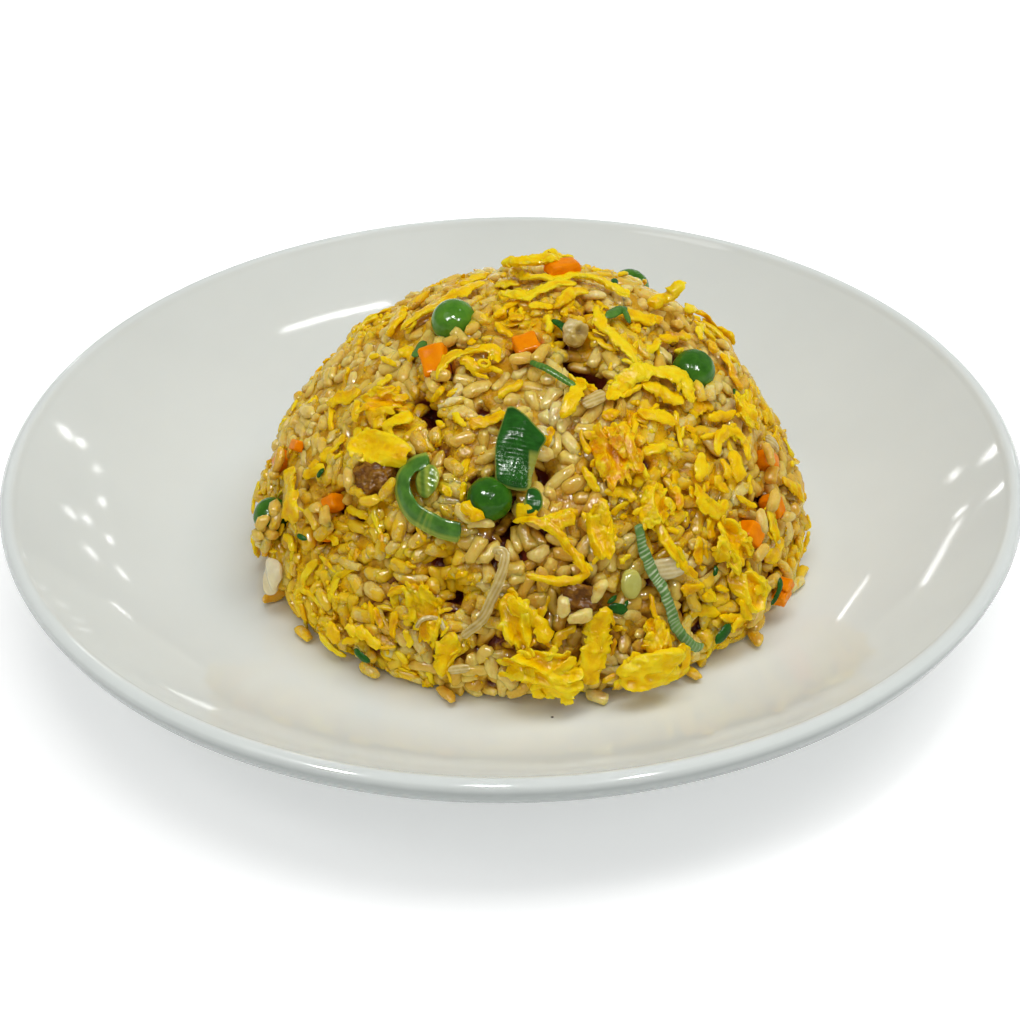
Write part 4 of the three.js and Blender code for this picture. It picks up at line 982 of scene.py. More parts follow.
def dice_mesh(o, seed, n=13, soft=0.5):
    """A knife-cut cube: tapered, sheared, with soft edges and slightly hollow faces."""
    r = xorshift(o["seed"])
    sx, sy = (next(r) - 0.5) * 0.35, (next(r) - 0.5) * 0.35
    kx, ky = 1 - next(r) * 0.22, 1 - next(r) * 0.22
    g = np.linspace(-1, 1, n)
    g = np.sign(g) * (1 - (1 - np.abs(g)) ** 1.25)
    vs, ts, count = [], [], 0
    A, B = np.meshgrid(g, g, indexing="ij")
    i, j = np.meshgrid(np.arange(n - 1), np.arange(n - 1), indexing="ij")
    a = (i * n + j).ravel()
    quad = np.concatenate([np.stack([a, a + n, a + n + 1], -1), np.stack([a, a + n + 1, a + 1], -1)])
    for axis in range(3):
        for sign in (1, -1):
            p = np.zeros((n * n, 3))
            p[:, axis] = sign
            p[:, (axis + 1) % 3], p[:, (axis + 2) % 3] = A.ravel(), B.ravel()
            vs.append(p)
            ts.append((quad if sign > 0 else quad[:, ::-1]) + count)
            count += n * n
    v, t = np.concatenate(vs), np.concatenate(ts)
    _, first, inv = np.unique(np.round(v * 5000).astype(np.int64), axis=0, return_index=True, return_inverse=True)
    v, t = v[first], inv.reshape(-1)[t]
    ext = np.array([o["l"], o["w"], o["t"]]) / 2
    p = v * ext
    inner = np.clip(p, -(ext - soft), ext - soft)
    off = p - inner
    ln = np.linalg.norm(off, axis=1, keepdims=True)
    p = inner + np.where(ln > 1e-6, off / np.maximum(ln, 1e-6) * soft, 0)
    dish = (1 - v[:, 0] ** 2) * (1 - v[:, 1] ** 2) * np.abs(v[:, 2]) + (1 - v[:, 1] ** 2) * (1 - v[:, 2] ** 2) * np.abs(v[:, 0]) \
        + (1 - v[:, 0] ** 2) * (1 - v[:, 2] ** 2) * np.abs(v[:, 1])
    p = p * (1 - 0.06 * dish[:, None])
    p = p + unit(p) * (0.50 * fractal(p / 3.0 + seed, seed, 3))[:, None]
    h = p[:, 2] / o["t"] + 0.5
    x = p[:, 0] * (1 + (kx - 1) * h) + sx * h * o["l"] * 0.3
    y = p[:, 1] * (1 + (ky - 1) * h * (0.5 + p[:, 0] / o["l"])) + sy * h * o["w"] * 0.3
    return np.stack([x, y, p[:, 2]], 1), t


CARROTS = {
    "carrot_1": dict(phi=-140.8, theta=64.3, l=8.4, w=6.6, t=5, lift=0, spin=-38, tip=-14, seed=3),
    "carrot_2": dict(phi=-94.1, theta=73.8, l=6.8, w=6.2, t=5, lift=0, spin=18, tip=10, seed=5),
    "carrot_3": dict(phi=45.8, theta=81.4, l=8.6, w=5.4, t=4, lift=3.6, spin=-112, tip=4, seed=7),
    "carrot_4": dict(phi=-143.3, theta=29.5, l=5.8, w=5, t=4.5, lift=0, spin=50, seed=9),
    "carrot_5": dict(phi=-142.9, theta=22.8, l=5.2, w=4.6, t=4.2, lift=-0.4, spin=27, seed=11),
    "carrot_6": dict(phi=-171.8, theta=24, l=6, w=5.6, t=4.6, lift=0, spin=2, seed=13),
    "carrot_7": dict(phi=-38.2, theta=21.8, l=7, w=6, t=5, lift=0.2, spin=-72, seed=15),
    "carrot_8": dict(phi=-27.4, theta=22, l=7, w=5.6, t=5, lift=0.2, spin=-94, seed=17),
    "carrot_9": dict(phi=-19.9, theta=29, l=7, w=5.8, t=5, lift=0, spin=-60, seed=19),
    "carrot_10": dict(phi=118, theta=36, l=7.4, w=6.2, t=5, lift=0, spin=30, tip=12, seed=20),
}
SINK = {"carrot_1": 0.6, "carrot_3": 0.4, "carrot_2": 1.4, "carrot_4": 1.3, "carrot_5": 1.4, "carrot_10": 0.8}
FLAT = {"carrot_3": 0.68}
LESS = {"carrot_1": 0.95, "carrot_2": 0.92, "carrot_3": 0.95, "carrot_5": 0.74, "carrot_4": 0.78}
for name, o in CARROTS.items():
    less = LESS.get(name, 0.84)
    small = dict(o, l=o["l"] * less, w=o["w"] * less, t=o["t"] * FLAT.get(name, 0.92))
    v, t = dice_mesh(small, o["seed"], soft=1.15)
    f = Spot(o["phi"], o["theta"], o["spin"])
    tip = math.radians(o.get("tip", 0))
    along, out = f.a * math.cos(tip) + f.n * math.sin(tip), f.n * math.cos(tip) - f.a * math.sin(tip)
    o = dict(small, lift=o["lift"] - SINK.get(name, 0.9))
    p = f.p + f.n * o["lift"] + v[:, :1] * along + v[:, 1:2] * f.b + v[:, 2:] * out
    Mesh().add(p, t).build(name + "_cube", CARROT, [name], "carrot")
    BALLS.append([*(f.p + f.n * o["lift"]), min(o["l"], o["w"]) / 2 - 0.6])
    roof_over(p[v[:, 2] > 0][::5] - f.n * o["t"], 0.6)


def lumps():
    ball, tri = icosphere(4)
    rows = [("pork_1", dict(phi=-133.5, theta=38.5, l=11.4, w=8.6, t=6, lift=0.2, spin=22), 41),
            ("pork_2", dict(phi=-81.5, theta=22.3, l=9.2, w=7.4, t=5, lift=0, spin=-20), 43)]
    for name, o, seed in rows:
        f = Spot(o["phi"], o["theta"], o["spin"])
        q = ball + seed
        k = 1 + 0.46 * fractal(q * 1.3, seed, 3)
        fibre = ridges(ball[:, 0] * 0.9, ball[:, 1] * 3.6 + ball[:, 2] * 1.5, seed * 1.1, seed + 1)
        k = k + 0.07 * (fibre - 0.5) + 0.09 * fractal(q * 4, seed + 2, 3)
        boxy = 0.94 * (np.abs(ball) ** 3).sum(1) ** (-0.6 / 3)
        v = ball * (k * boxy)[:, None] * [o["l"] * 0.46, o["w"] * 0.46, o["t"] / 2]
        p = f.p + f.n * o["lift"] + v[:, :1] * f.a + v[:, 1:2] * f.b + v[:, 2:] * f.n
        Mesh().add(p, tri, su=v[:, 0], sv=v[:, 1] + 0.7 * v[:, 2]).build(name + "_meat", PORK, [name], "pork")
        BALLS.append([*(f.p + f.n * o["lift"]), o["t"] / 2 - 0.6])
        roof_over(p[(ball[:, 2] < 0) & (np.hypot(ball[:, 0], ball[:, 1]) < 0.8)][::9], 1.0)


lumps()


def blade(mesh, phi, theta, out, t, lift, bend, spin=0, rings=14, around=88, seed=21, pale_at=None, sheen_streak_at=None, rib=1.15,
          rough=0.22, ribs=0.0, edge=0.7, light=0.0):
    """A thin piece of leaf with a cut outline, in millimetres east and north of its place; bend lifts it."""
    f = Spot(phi, theta, spin)
    ring, _ = catmull(list(out) + [out[0]], around)
    ring = ring[:-1]
    ring[:, :2] += 0.10 * np.stack([wavy(np.arange(around) * 0.35, np.full(around, seed), 3), wavy(np.arange(around) * 0.35, np.full(around, seed), 4)], 1)
    ctr = ring.mean(0)
    ks = np.linspace(0, 1, rings + 1)[1:] ** 0.8
    u = np.append((ctr[0] + ks[:, None] * (ring[:, 0] - ctr[0])).ravel(), ctr[0])
    v = np.append((ctr[1] + ks[:, None] * (ring[:, 1] - ctr[1])).ravel(), ctr[1])
    k = np.append(np.repeat(ks, around), 0)
    h = lift + bend(u, v) + rough * fractal(np.stack([u / 3.1, v / 3.1, np.full_like(u, seed)], 1), seed, 2)
    h = h + ribs * np.cos(2 * np.pi * (v + 0.12 * u) / rib)
    half = t / 2 * np.sqrt(np.clip(1.04 - k ** 8, 0, 1))
    top, low = f.on(u, v, h + half), f.on(u, v, h - half)
    n, e0 = rings * around, (rings - 1) * around
    rim = (top[e0:n] + low[e0:n]) / 2 + unit(top[e0:n] - top[n]) * 0.12
    jj = np.arange(around)
    kk = (jj + 1) % around
    i, j = np.meshgrid(np.arange(rings - 1), jj, indexing="ij")
    j2 = (j + 1) % around
    A, B, C, D = i * around + j, i * around + j2, (i + 1) * around + j2, (i + 1) * around + j
    upper = np.concatenate([np.stack([A, D, C], -1).reshape(-1, 3), np.stack([A, C, B], -1).reshape(-1, 3),
                            np.stack([np.full(around, n), jj, kk], -1)])
    m, r0 = n + 1, 2 * (n + 1)
    side = np.concatenate([np.stack([e0 + jj, r0 + jj, r0 + kk], -1), np.stack([e0 + jj, r0 + kk, e0 + kk], -1),
                           np.stack([r0 + jj, m + e0 + jj, m + e0 + kk], -1), np.stack([r0 + jj, m + e0 + kk, r0 + kk], -1)])
    uu, vv, k3 = np.concatenate([u, u, ring[:, 0]]), np.concatenate([v, v, ring[:, 1]]), np.concatenate([k, k, np.ones(around)])
    pale = np.clip((pale_at(uu, vv) if pale_at else 0) + edge * np.clip(k3 - 0.965, 0, 1) / 0.035, 0, 1)
    mesh.add(np.vstack([top, low, rim]), np.concatenate([upper, upper[:, ::-1] + m, side]), rib=(vv + 0.12 * uu) / rib, pale=pale,
             scuff=sheen_streak_at(uu, vv) if sheen_streak_at else 0.0, light=light)
    roof_over(low[::2], 1.0)
    return mesh


# leaf_1 carries whitish streaks of painted sheen in a band across its lower part
blade(Mesh(), -95, 49.4,
      [(-2.5, 9.7), (-1.6, 10.0), (0.6, 8.5), (3.2, 5.9), (5.4, 3.9), (5.7, 3.0), (4.6, 1.0), (3.9, -1.4), (3.2, -4.4),
       (3.0, -6.9), (2.4, -7.5), (0.2, -7.7), (-2.8, -7.0), (-3.9, -6.2), (-4.3, -2.6), (-4.3, 1.4), (-3.4, 5.8)],
      1.0, 2.5, lambda u, v: 0.8 * np.cos((u + 0.2) / 3.4) - 0.012 * (v - 1.5) ** 2 - 0.05, seed=21, ribs=0.02, rib=0.9,
      pale_at=lambda u, v: np.clip((u - 2.3) / 0.4, 0, 1) * np.clip((0.6 - v) / 1.0, 0, 1) * 0.9,
      sheen_streak_at=lambda u, v: np.exp(-((v + 3.4 + 0.5 * u) / 2.6) ** 2) * 1.0).build("leaf_1_blade", LEAF, ["leaf_1"], "scallion")
blade(Mesh(), -91, 40.5,
      [(-0.7, 2.9), (0.4, 3.0), (1.6, 2.2), (2.2, 0.4), (1.9, -1.4), (0.3, -2.6), (-1.4, -2.8), (-2.3, -1.9), (-1.5, 0.5)],
      1.0, 1.5, lambda u, v: 0.1 * v, rings=8, around=40, seed=23,
      pale_at=lambda u, v: np.clip((-u - 1.0) / 0.4, 0, 1) * 0.8).build("leaf_2_blade", LEAF, ["leaf_2"], "scallion")


def ribbon(mesh, o, steps, cross=14, ragged=0.05, gutter=0.1, twist=0.12, rib=0.9, pale=None, bands=0.0, seed=61, fold=0.0, square=0.8,
           vein=False):
    f = Spot(o["phi"], o["theta"])
    line, length = catmull(o["line"], steps)
    k = np.linspace(0, 1, steps + 1)[None]
    s = k * length
    ids = np.full_like(s, seed * 1.9)
    c = f.on(line[:, 0], line[:, 1], line[:, 2] + o["lift"] + 0.12 * wavy(s / 4.0, ids, 13)[0])
    n = unit(table_at(TAB_N, unit(c - O)))
    tips = o.get("tips", 0.8)
    env = np.minimum(1, tips + (1 - tips) * 4 * np.minimum(k, 1 - k)) * np.clip(0.5 + np.minimum(k, 1 - k) * length / 0.6, 0, 1)
    hw = o["w"] / 2 * env
    sides = [hw * np.clip(1 + ragged * 2 * wavy(s / 1.6, ids + w, 14), 0.4, 1.5) for w in (20, 30)]
    roll = math.radians(o.get("roll", 0)) + twist * wavy(s / 6.0, ids, 16, 1)
    thick = o["t"] * np.clip(env + 0.1, 0, 1)
    paint = lambda s3, ex, px: dict(rib=px / 0.8 + 0.1 * s3 if vein else s3 / rib, pale=np.clip(pale(s3, ex) if pale else 0 * s3, 0, 1), scuff=0 * s3)
    lift = (lambda s3, ex: bands * np.cos(2 * np.pi * s3 / rib) * (1 - 0.4 * np.abs(ex))) if bands else None
    ribbons(mesh, c[None], n[None], sides[0], sides[1], thick, roll, s, ids, seed, cross, fold=fold, gutter=gutter, square=square,
            paint=paint, lift=lift)
    roof_over(c - n * (o["t"] / 2), reach=max(0.8, o["w"] * 0.40))
    return mesh


def curl():
    """The bent ring of scallion: a band seen half from its side, its pale inside edge, and the flesh it holds."""
    m = Mesh()
    ribbon(m, dict(phi=-117.9, theta=38.3, w=5.0, t=1.3, lift=1.6, tips=0.9, roll=20,
                   line=[[-1.9, 8.6, -1.2], [-4.6, 6.6, -0.4], [-5.6, 3.4, 0.2], [-4.7, 0.2, 0.4], [-2.0, -2.6, 0.5], [2.2, -4.2, 0.5],
                         [6.6, -4.8, 0.3], [10.6, -4.6]]),
           72, 20, ragged=0.02, twist=0.05, rib=16.0, seed=71, square=0.7,
           pale=lambda s, x: np.exp(-((np.abs(x) - 0.88) / 0.10) ** 2) * 0.95 * (x < 0) + np.exp(-((x + 0.55) / 0.07) ** 2) * 0.6
           + (np.exp(-((s - 17.6) / 0.22) ** 2) + np.exp(-((s - 19.0) / 0.25) ** 2) + np.exp(-((s - 20.2) / 0.2) ** 2)) * 0.45)
    m.build("scallion_curl_leaf", SCALLION, ["scallion_curl"], "scallion")
    m = Mesh()
    blade(m, -118.1, 41.9, [(-3.0, 2.2), (-1.2, 3.2), (0.9, 3.0), (2.2, 1.0), (2.0, -1.6), (0.6, -3.6), (-1.4, -3.2), (-2.8, -1.0)],
          1.0, 1.1, lambda u, v: 0.25 * np.cos(u * 1.2), rings=8, around=44, seed=72, pale_at=lambda u, v: 0.45 + 0.3 * np.cos(u * 2.6 + v), edge=0.2)
    m.build("scallion_curl_flesh", SCALLION, ["scallion_curl"], "scallion")


curl()
ribbon(Mesh(), dict(phi=-64.1, theta=19.7, w=2.5, t=0.9, lift=1.5, tips=0.9,
                    line=[[-2.8, 16.2], [-3.0, 11.2], [-2.1, 5.8], [-0.6, 1.7], [0.1, -3.0], [0.9, -7.8], [3.7, -12.3], [7.0, -14.9]]),
       180, 12, ragged=0.12, rib=0.98, bands=0.03, fold=0.12, gutter=0.25, seed=73,
       pale=lambda s, x: np.clip(np.cos(2 * np.pi * s / 0.98 + 5.5 * wavy(s / 2.4, s * 0, 5, 2) + 1.2 * x) * 1.2 - 0.2 + 0.8 * wavy(s / 1.1, x * 1.5, 6, 2), 0, 1)
       * (0.25 + 0.65 * np.exp(-((s - 12) / 8) ** 2)) * (1 - 0.6 * np.abs(x) ** 4)).build("scallion_strip_leaf", STRIP, ["scallion_strip"], "scallion")
ribbon(Mesh(), dict(phi=-81.2, theta=64.9, w=1.7, t=0.9, lift=1.7, tips=0.9, line=[[-4.2, 4.2], [-0.1, -0.2], [3.9, -3.4]]),
       48, 10, rib=0.9, bands=0.05, seed=75,
       pale=lambda s, x: np.clip(np.cos(2 * np.pi * s / 0.9) - 0.5, 0, 1) * 0.35).build("scallion_thread_leaf", SCALLION, ["scallion_thread"], "scallion")
ribbon(Mesh(), dict(phi=-99.5, theta=24.1, w=2.3, t=0.7, lift=1.6, tips=0.75,
                    line=[[0.6, 7.4, -0.9], [1.0, 8.3, -0.1], [2.5, 7.9, 0.1], [2.8, 6.2, 0.2], [2.2, 2.8, 0.3], [0.4, -2.3], [-1.0, -6.2], [-5.5, -11.4, -0.4]]),
       110, 14, ragged=0.10, rib=1.3, bands=0.0, gutter=0.3, fold=0.14, seed=77, vein=True).build("leek_1_strip", LEEK, ["leek_1"], "leek")
blade(Mesh(), -62.1, 23.9, [(-4.0, -1.3), (-3.3, 2.4), (0.2, 2.6), (3.9, 3.0), (3.5, 0.2), (3.2, -1.4), (-0.4, -1.9)],
      0.8, 0.85, lambda u, v: 0.06 * u, rings=9, around=52, seed=31, rib=1.0, ribs=0.03, edge=0.2, light=0.35).build("leek_2_slice", LEEK, ["leek_2"], "leek")
blade(Mesh(), -70.6, 22.9, [(-2.2, 1.4), (-0.9, 3.2), (1.4, 2.9), (2.3, 0.9), (1.9, -1.6), (0.3, -3.0), (-1.5, -2.4), (-2.4, -0.4)],
      1.9, 1.0, lambda u, v: -0.04 * (u * u + v * v), rings=9, around=44, seed=33, rib=5.0, rough=0.1,
      pale_at=lambda u, v: 0.75 + 0 * u, edge=0.1).build("leek_3_disc", LEEK, ["leek_3"], "leek")
blade(Mesh(), -152.2, 8.3, [(-2.4, 3.6), (0.2, 4.2), (2.4, 3.2), (2.6, 0.0), (1.4, -3.2), (-0.6, -4.2), (-2.0, -2.4), (-2.8, 0.6)],
      1.8, 1.6, lambda u, v: 0.35 * np.sin(u * 1.1 + v), rings=11, around=56, seed=37, rib=9.0, rough=0.5, ribs=0.0, edge=0.0, light=0.8).build("leek_4_slice", LEEK, ["leek_4"], "leek")


def onion():
    """A curl of onion: a short thick ring with a hollow that looks out to the front, painted brown inside as shade."""
    ball, tri = icosphere(4)
    f = Spot(-59.6, 74, 20)
    a = np.arctan2(ball[:, 1], ball[:, 0])
    way_in = unit(np.array([[f.a[0] * 0.6 - f.a[1] * 0.7 + f.a[2] * 0.38, f.b[0] * 0.6 - f.b[1] * 0.7 + f.b[2] * 0.38,
                             f.n[0] * 0.6 - f.n[1] * 0.7 + f.n[2] * 0.38]]))[0]
    off = np.arccos(np.clip(ball @ way_in, -1, 1))
    slit = np.exp(-(off / 0.60) ** 4)
    k = 1 + 0.24 * fractal(ball * 1.6 + 7, 35, 3) - 0.55 * slit
    v = ball * k[:, None] * [2.9, 2.8, 3.2]
    p = f.p + f.n * 0.9 + v[:, :1] * f.a + v[:, 1:2] * f.b + v[:, 2:] * f.n
    # painted shade: the hollow's brown comes from its deep number
    Mesh().add(p, tri, rib=0.12 * a, pale=0.0, light=0.0, deep=0.50 * slit, scuff=0.0).build("onion_curl_piece", LEEK, ["onion_curl"], "leek")
    BALLS.append([*(f.p + f.n * 0.9), 2.2])
    roof_over(p[ball[:, 2] < 0][::9], 1.0)


onion()


# ---------------------------------------------------------------- further small toppings
def slivers():
    """Snips of scallion and leek no bigger than a grain or two, and the crumbs of carrot."""
    green, pale, white, orange = Mesh(), Mesh(), Mesh(), Mesh()
    ribbon(pale, dict(phi=-156.8, theta=64.5, w=2.9, t=0.8, lift=1.0, tips=0.6, line=[[-1.8, 1.8], [0.2, 0.1], [1.9, -2.0]]), 14, 10, seed=201)
    ribbon(pale, dict(phi=-25.6, theta=72.2, w=2.6, t=0.8, lift=1.2, tips=0.5, line=[[-3.4, 0.9], [0, 0.2], [3.2, -1.0]]), 14, 10, seed=202)
    ribbon(pale, dict(phi=-25.9, theta=70.6, w=1.6, t=0.7, lift=1.5, tips=0.5, line=[[-1.6, -1.9], [0.4, -0.3], [2.4, 1.7]]), 12, 8, seed=203)
    ribbon(green, dict(phi=-66.4, theta=76.7, w=2.0, t=0.8, lift=0.6, tips=0.6, line=[[-0.5, 2.8], [0.2, 0.2], [0.5, -2.6]]), 12, 8, seed=204)
    ribbon(green, dict(phi=15.3, theta=72.9, w=1.8, t=0.8, lift=1.0, tips=0.6, line=[[-1.2, 0.6], [1.2, -0.4]]), 10, 8, seed=205)
    for i, (du, dv, s, l, w) in enumerate(((-0.9, 1.5, 0.5, 1.3, 1.1), (0.1, -0.6, -0.35, 2.2, 2.5), (1.9, -0.2, 0.9, 1.1, 0.9))):
        c, q = math.cos(s), math.sin(s)
        ribbon(green, dict(phi=-74.4, theta=19.8, w=w, t=0.7, lift=0.6, tips=0.3,
                           line=[[du - l * c, dv - l * q], [du, dv, 0.3], [du + l * c, dv + l * q]]), 10, 8, seed=206 + i)
    for i, (phi, theta, l, w, spin) in enumerate(((-52.9, 7.8, 5.0, 3.4, 40), (-36, 8.5, 5.6, 2.0, 70), (-36.8, 7.2, 4.0, 1.4, 20),
                                                  (-124.3, 5.7, 4.4, 2.6, -20), (-16, 44, 2.4, 1.6, 30), (-150, 33, 2.6, 1.4, 80),
                                                  (-146, 20.5, 3.0, 1.3, 10), (-51.8, 20.1, 2.2, 1.2, 60))):
        c, q = math.cos(math.radians(spin)) * l / 2, math.sin(math.radians(spin)) * l / 2
        ribbon(green, dict(phi=phi, theta=theta, w=w, t=0.8, lift=0.9, tips=0.5, line=[[-c, -q], [0.3, 0.2, 0.3], [c, q]]), 12, 8, seed=221 + i)
    ribbon(white, dict(phi=-110.2, theta=16.2, w=1.1, t=0.7, lift=1.5, tips=0.9,
                       line=[(-3.4, -1.6), (-2.6, 0.2), (-1.1, 0.9), (1.0, 0.7), (1.9, 0.0), (2.7, -1.2)]), 36, 8, seed=231, vein=True)
    ribbon(white, dict(phi=-67.6, theta=58.7, w=3.0, t=1.0, lift=0.8, tips=0.8, line=[[-3.0, -0.6, -0.2], [0, 0.1, 0.3], [3.0, 1.0]]), 24, 10,
           seed=232, vein=True)
    ribbon(white, dict(phi=-14.8, theta=30.2, w=3.2, t=1.0, lift=0.6, tips=0.6, line=[[-1.2, 2.6], [0, 0, 0.3], [1.2, -2.4]]), 16, 10, seed=233, vein=True)
    ribbon(white, dict(phi=-42.3, theta=10.4, w=2.8, t=1.0, lift=1.1, tips=0.7, line=[[-0.6, -2.6], [0, 0.2, 0.3], [0.9, 2.8]]), 20, 10,
           seed=234, vein=True)
    ribbon(white, dict(phi=-104.4, theta=8.4, w=2.2, t=0.8, lift=1.4, tips=0.6, line=[[-2.4, -0.7], [0, 0.2], [2.2, 0.8]]), 16, 8, seed=235, vein=True)
    for phi, theta, spin, l, w, t, seed in ((-33.6, 5.8, 20, 4.6, 3.2, 3.0, 25), (-32.3, 7.0, -60, 3.6, 3.4, 3.0, 27), (-165.5, 31.5, 30, 3.4, 2.6, 2.4, 29)):
        o = dict(l=l, w=w, t=t, seed=seed)
        v, tr = dice_mesh(o, seed, 7, 0.4)
        f = Spot(phi, theta, spin)
        orange.add(f.p + f.n * 0.4 + v[:, :1] * f.a + v[:, 1:2] * f.b + v[:, 2:] * f.n, tr)
        BALLS.append([*(f.p + f.n * 0.4), w / 2])
    green.build("scallion_snips_dark", LEAF, [], "scallion")
    pale.build("scallion_snips_light", SCALLION, [], "scallion")
    white.build("leek_snips", LEEK, [], "leek")
    orange.build("carrot_crumbs", CARROT, [], "carrot")


slivers()


ROOF[:, TP], COVER[:, TP] = ROOF[:, 0], COVER[:, 0]


# ---------------------------------------------------------------- rice: a heap of real grains over a smaller core
def yolk_amount(p):
    """How much egg there is round a point, 0 to 1: in drifts, more on the left flank and low in front."""
    d = unit(p - O)
    base = 0.48 + 1.0 * fractal(p / 15.0 + 3.0, 31, 2)
    left = np.clip(-d[:, 0] * 0.9 - 0.15, 0, 1)
    front = np.clip(-d[:, 1] * (1 - d[:, 2]) - 0.2, 0, 1)
    return np.clip(base + 0.35 * left + 0.2 * front, 0, 1)


def clumps(p):
    """The heap stands out in clumps and falls in between them, -1 to 1."""
    return fractal(p / 9.5, 23, 2) * (1 - table_at(COVER, unit(p - O)))


def grain_level(d):
    """How far above the smooth dome the outer grains reach, in mm."""
    return np.clip(2.0 * clumps(O + d * 66) - 0.45, -2.4, 1.0)


def merged(p):
    """How far the grains have run together, 0 to 1: on the left flank and up on the heap, not low in front."""
    d = unit(p - O)
    return np.clip(0.42 * np.clip(1.6 * (d[:, 2] - 0.30), 0, 1) + 0.60 * np.clip(-1.5 * d[:, 0] - 0.35, 0, 1) + 0.45 * fractal(p / 12.0, 29, 2), 0, 1)


def off_pits(d):
    """True for the directions that don't lead into a pit."""
    at = dir_of(np.array([float(p[0]) for p in PITS]), np.array([float(p[1]) for p in PITS])) * 66.0
    away = np.linalg.norm(d[:, None] * 66.0 - at[None], axis=-1)
    return (away > np.array([p[2] for p in PITS])[None] + 0.6).all(1) & (gaps(d) < 0.7)


def gaps(d):
    """How near a gap between the grains is, 0 to 1: the core is cut deeper there, and painted shade darkens it and the
    grains round it.
    """
    at = dir_of(np.array([float(p[0]) for p in GAPS]), np.array([float(p[1]) for p in GAPS])) * 66.0
    away = np.linalg.norm(d[:, None] * 66.0 - at[None], axis=-1)
    return np.exp(-(away / 3.0) ** 2).max(1)


def pairs_within(p, cell):
    """Index pairs of points in the same or a neighbouring cell."""
    q = np.floor(p / cell).astype(np.int64)
    q -= q.min(0) - 1
    dims = q.max(0) + 2
    key = (q[:, 0] * dims[1] + q[:, 1]) * dims[2] + q[:, 2]
    order = np.argsort(key, kind="stable")
    ks = key[order]
    half = [(0, 0, 0), (1, 0, 0), (-1, 1, 0), (0, 1, 0), (1, 1, 0)] + [(x, y, 1) for x in (-1, 0, 1) for y in (-1, 0, 1)]
    out = []
    for dx, dy, dz in half:
        k2 = key + (dx * dims[1] + dy) * dims[2] + dz
        lo, hi = np.searchsorted(ks, k2, "left"), np.searchsorted(ks, k2, "right")
        n = hi - lo
        i = np.repeat(np.arange(len(p)), n)
        j = order[np.repeat(lo, n) + np.arange(n.sum()) - np.repeat(np.cumsum(n) - n, n)]
        if (dx, dy, dz) == (0, 0, 0):
            keep = i < j
            i, j = i[keep], j[keep]
        out.append((i, j))
    return np.concatenate([x[0] for x in out]), np.concatenate([x[1] for x in out])


def settle(c, ax, length, width, out, steps=60, squeeze=0.74, floor=3.6):
    """Pushes the grains apart, each as three balls in a row, under the heap's outside and what lies on it."""
    n = len(c)
    r = width / 2 * 0.98
    half = length / 2 - r
    off = np.array([-1.0, 0.0, 1.0])
    balls = np.array(BALLS)
    who, rr = np.repeat(np.arange(n), 3), np.repeat(r, 3)
    for it in range(steps):
        arm = ax[:, None, :] * (half[:, None] * off)[..., None]
        p = (c[:, None, :] + arm).reshape(-1, 3)
        if it % 5 == 0:
            pi, pj = pairs_within(p, 3.9)
            keep = who[pi] != who[pj]
            pi, pj = pi[keep], pj[keep]
        d = p[pi] - p[pj]
        dist = np.linalg.norm(d, axis=1)
        over = squeeze * (rr[pi] + rr[pj]) - dist
        hit = over > 0
        a, b = pi[hit], pj[hit]
        push = d[hit] / np.maximum(dist[hit], 1e-6)[:, None] * (over[hit] * 0.5)[:, None]
        move = np.stack([np.bincount(a, push[:, k], len(p)) - np.bincount(b, push[:, k], len(p)) for k in range(3)], 1)
        q = p - O
        ln = np.linalg.norm(q, axis=1)
        dr = q / ln[:, None]
        deep = table_at(TAB_S, dr) - ln
        least = np.maximum(np.repeat(out, 3) * -1.0, table_at(ROOF, dr)) + rr * 0.97
        move -= dr * (np.clip(least - deep, 0, 1.2) * 0.7)[:, None]
        move += dr * (np.clip(deep - np.maximum(floor, least + 1.4), 0, 1.5) * 0.6)[:, None]
        move[:, 2] += np.clip(ZB + 0.9 * rr - p[:, 2], 0, 2) * 0.8
        for bx, by, bz, br in balls:
            e = p - np.array([bx, by, bz])
            el = np.linalg.norm(e, axis=1)
            g = el < br + rr
            if g.any():
                move[g] += e[g] / np.maximum(el[g], 1e-6)[:, None] * ((br + rr[g] - el[g]) * 0.6)[:, None]
        move = move.reshape(n, 3, 3)
        c = c + move.mean(1) * 0.9
        turn = np.cross(arm, move).sum(1) / np.maximum(2 * half ** 2, 0.5)[:, None]
        ax = unit(ax + np.cross(turn, ax) * 0.5)
    return c, ax


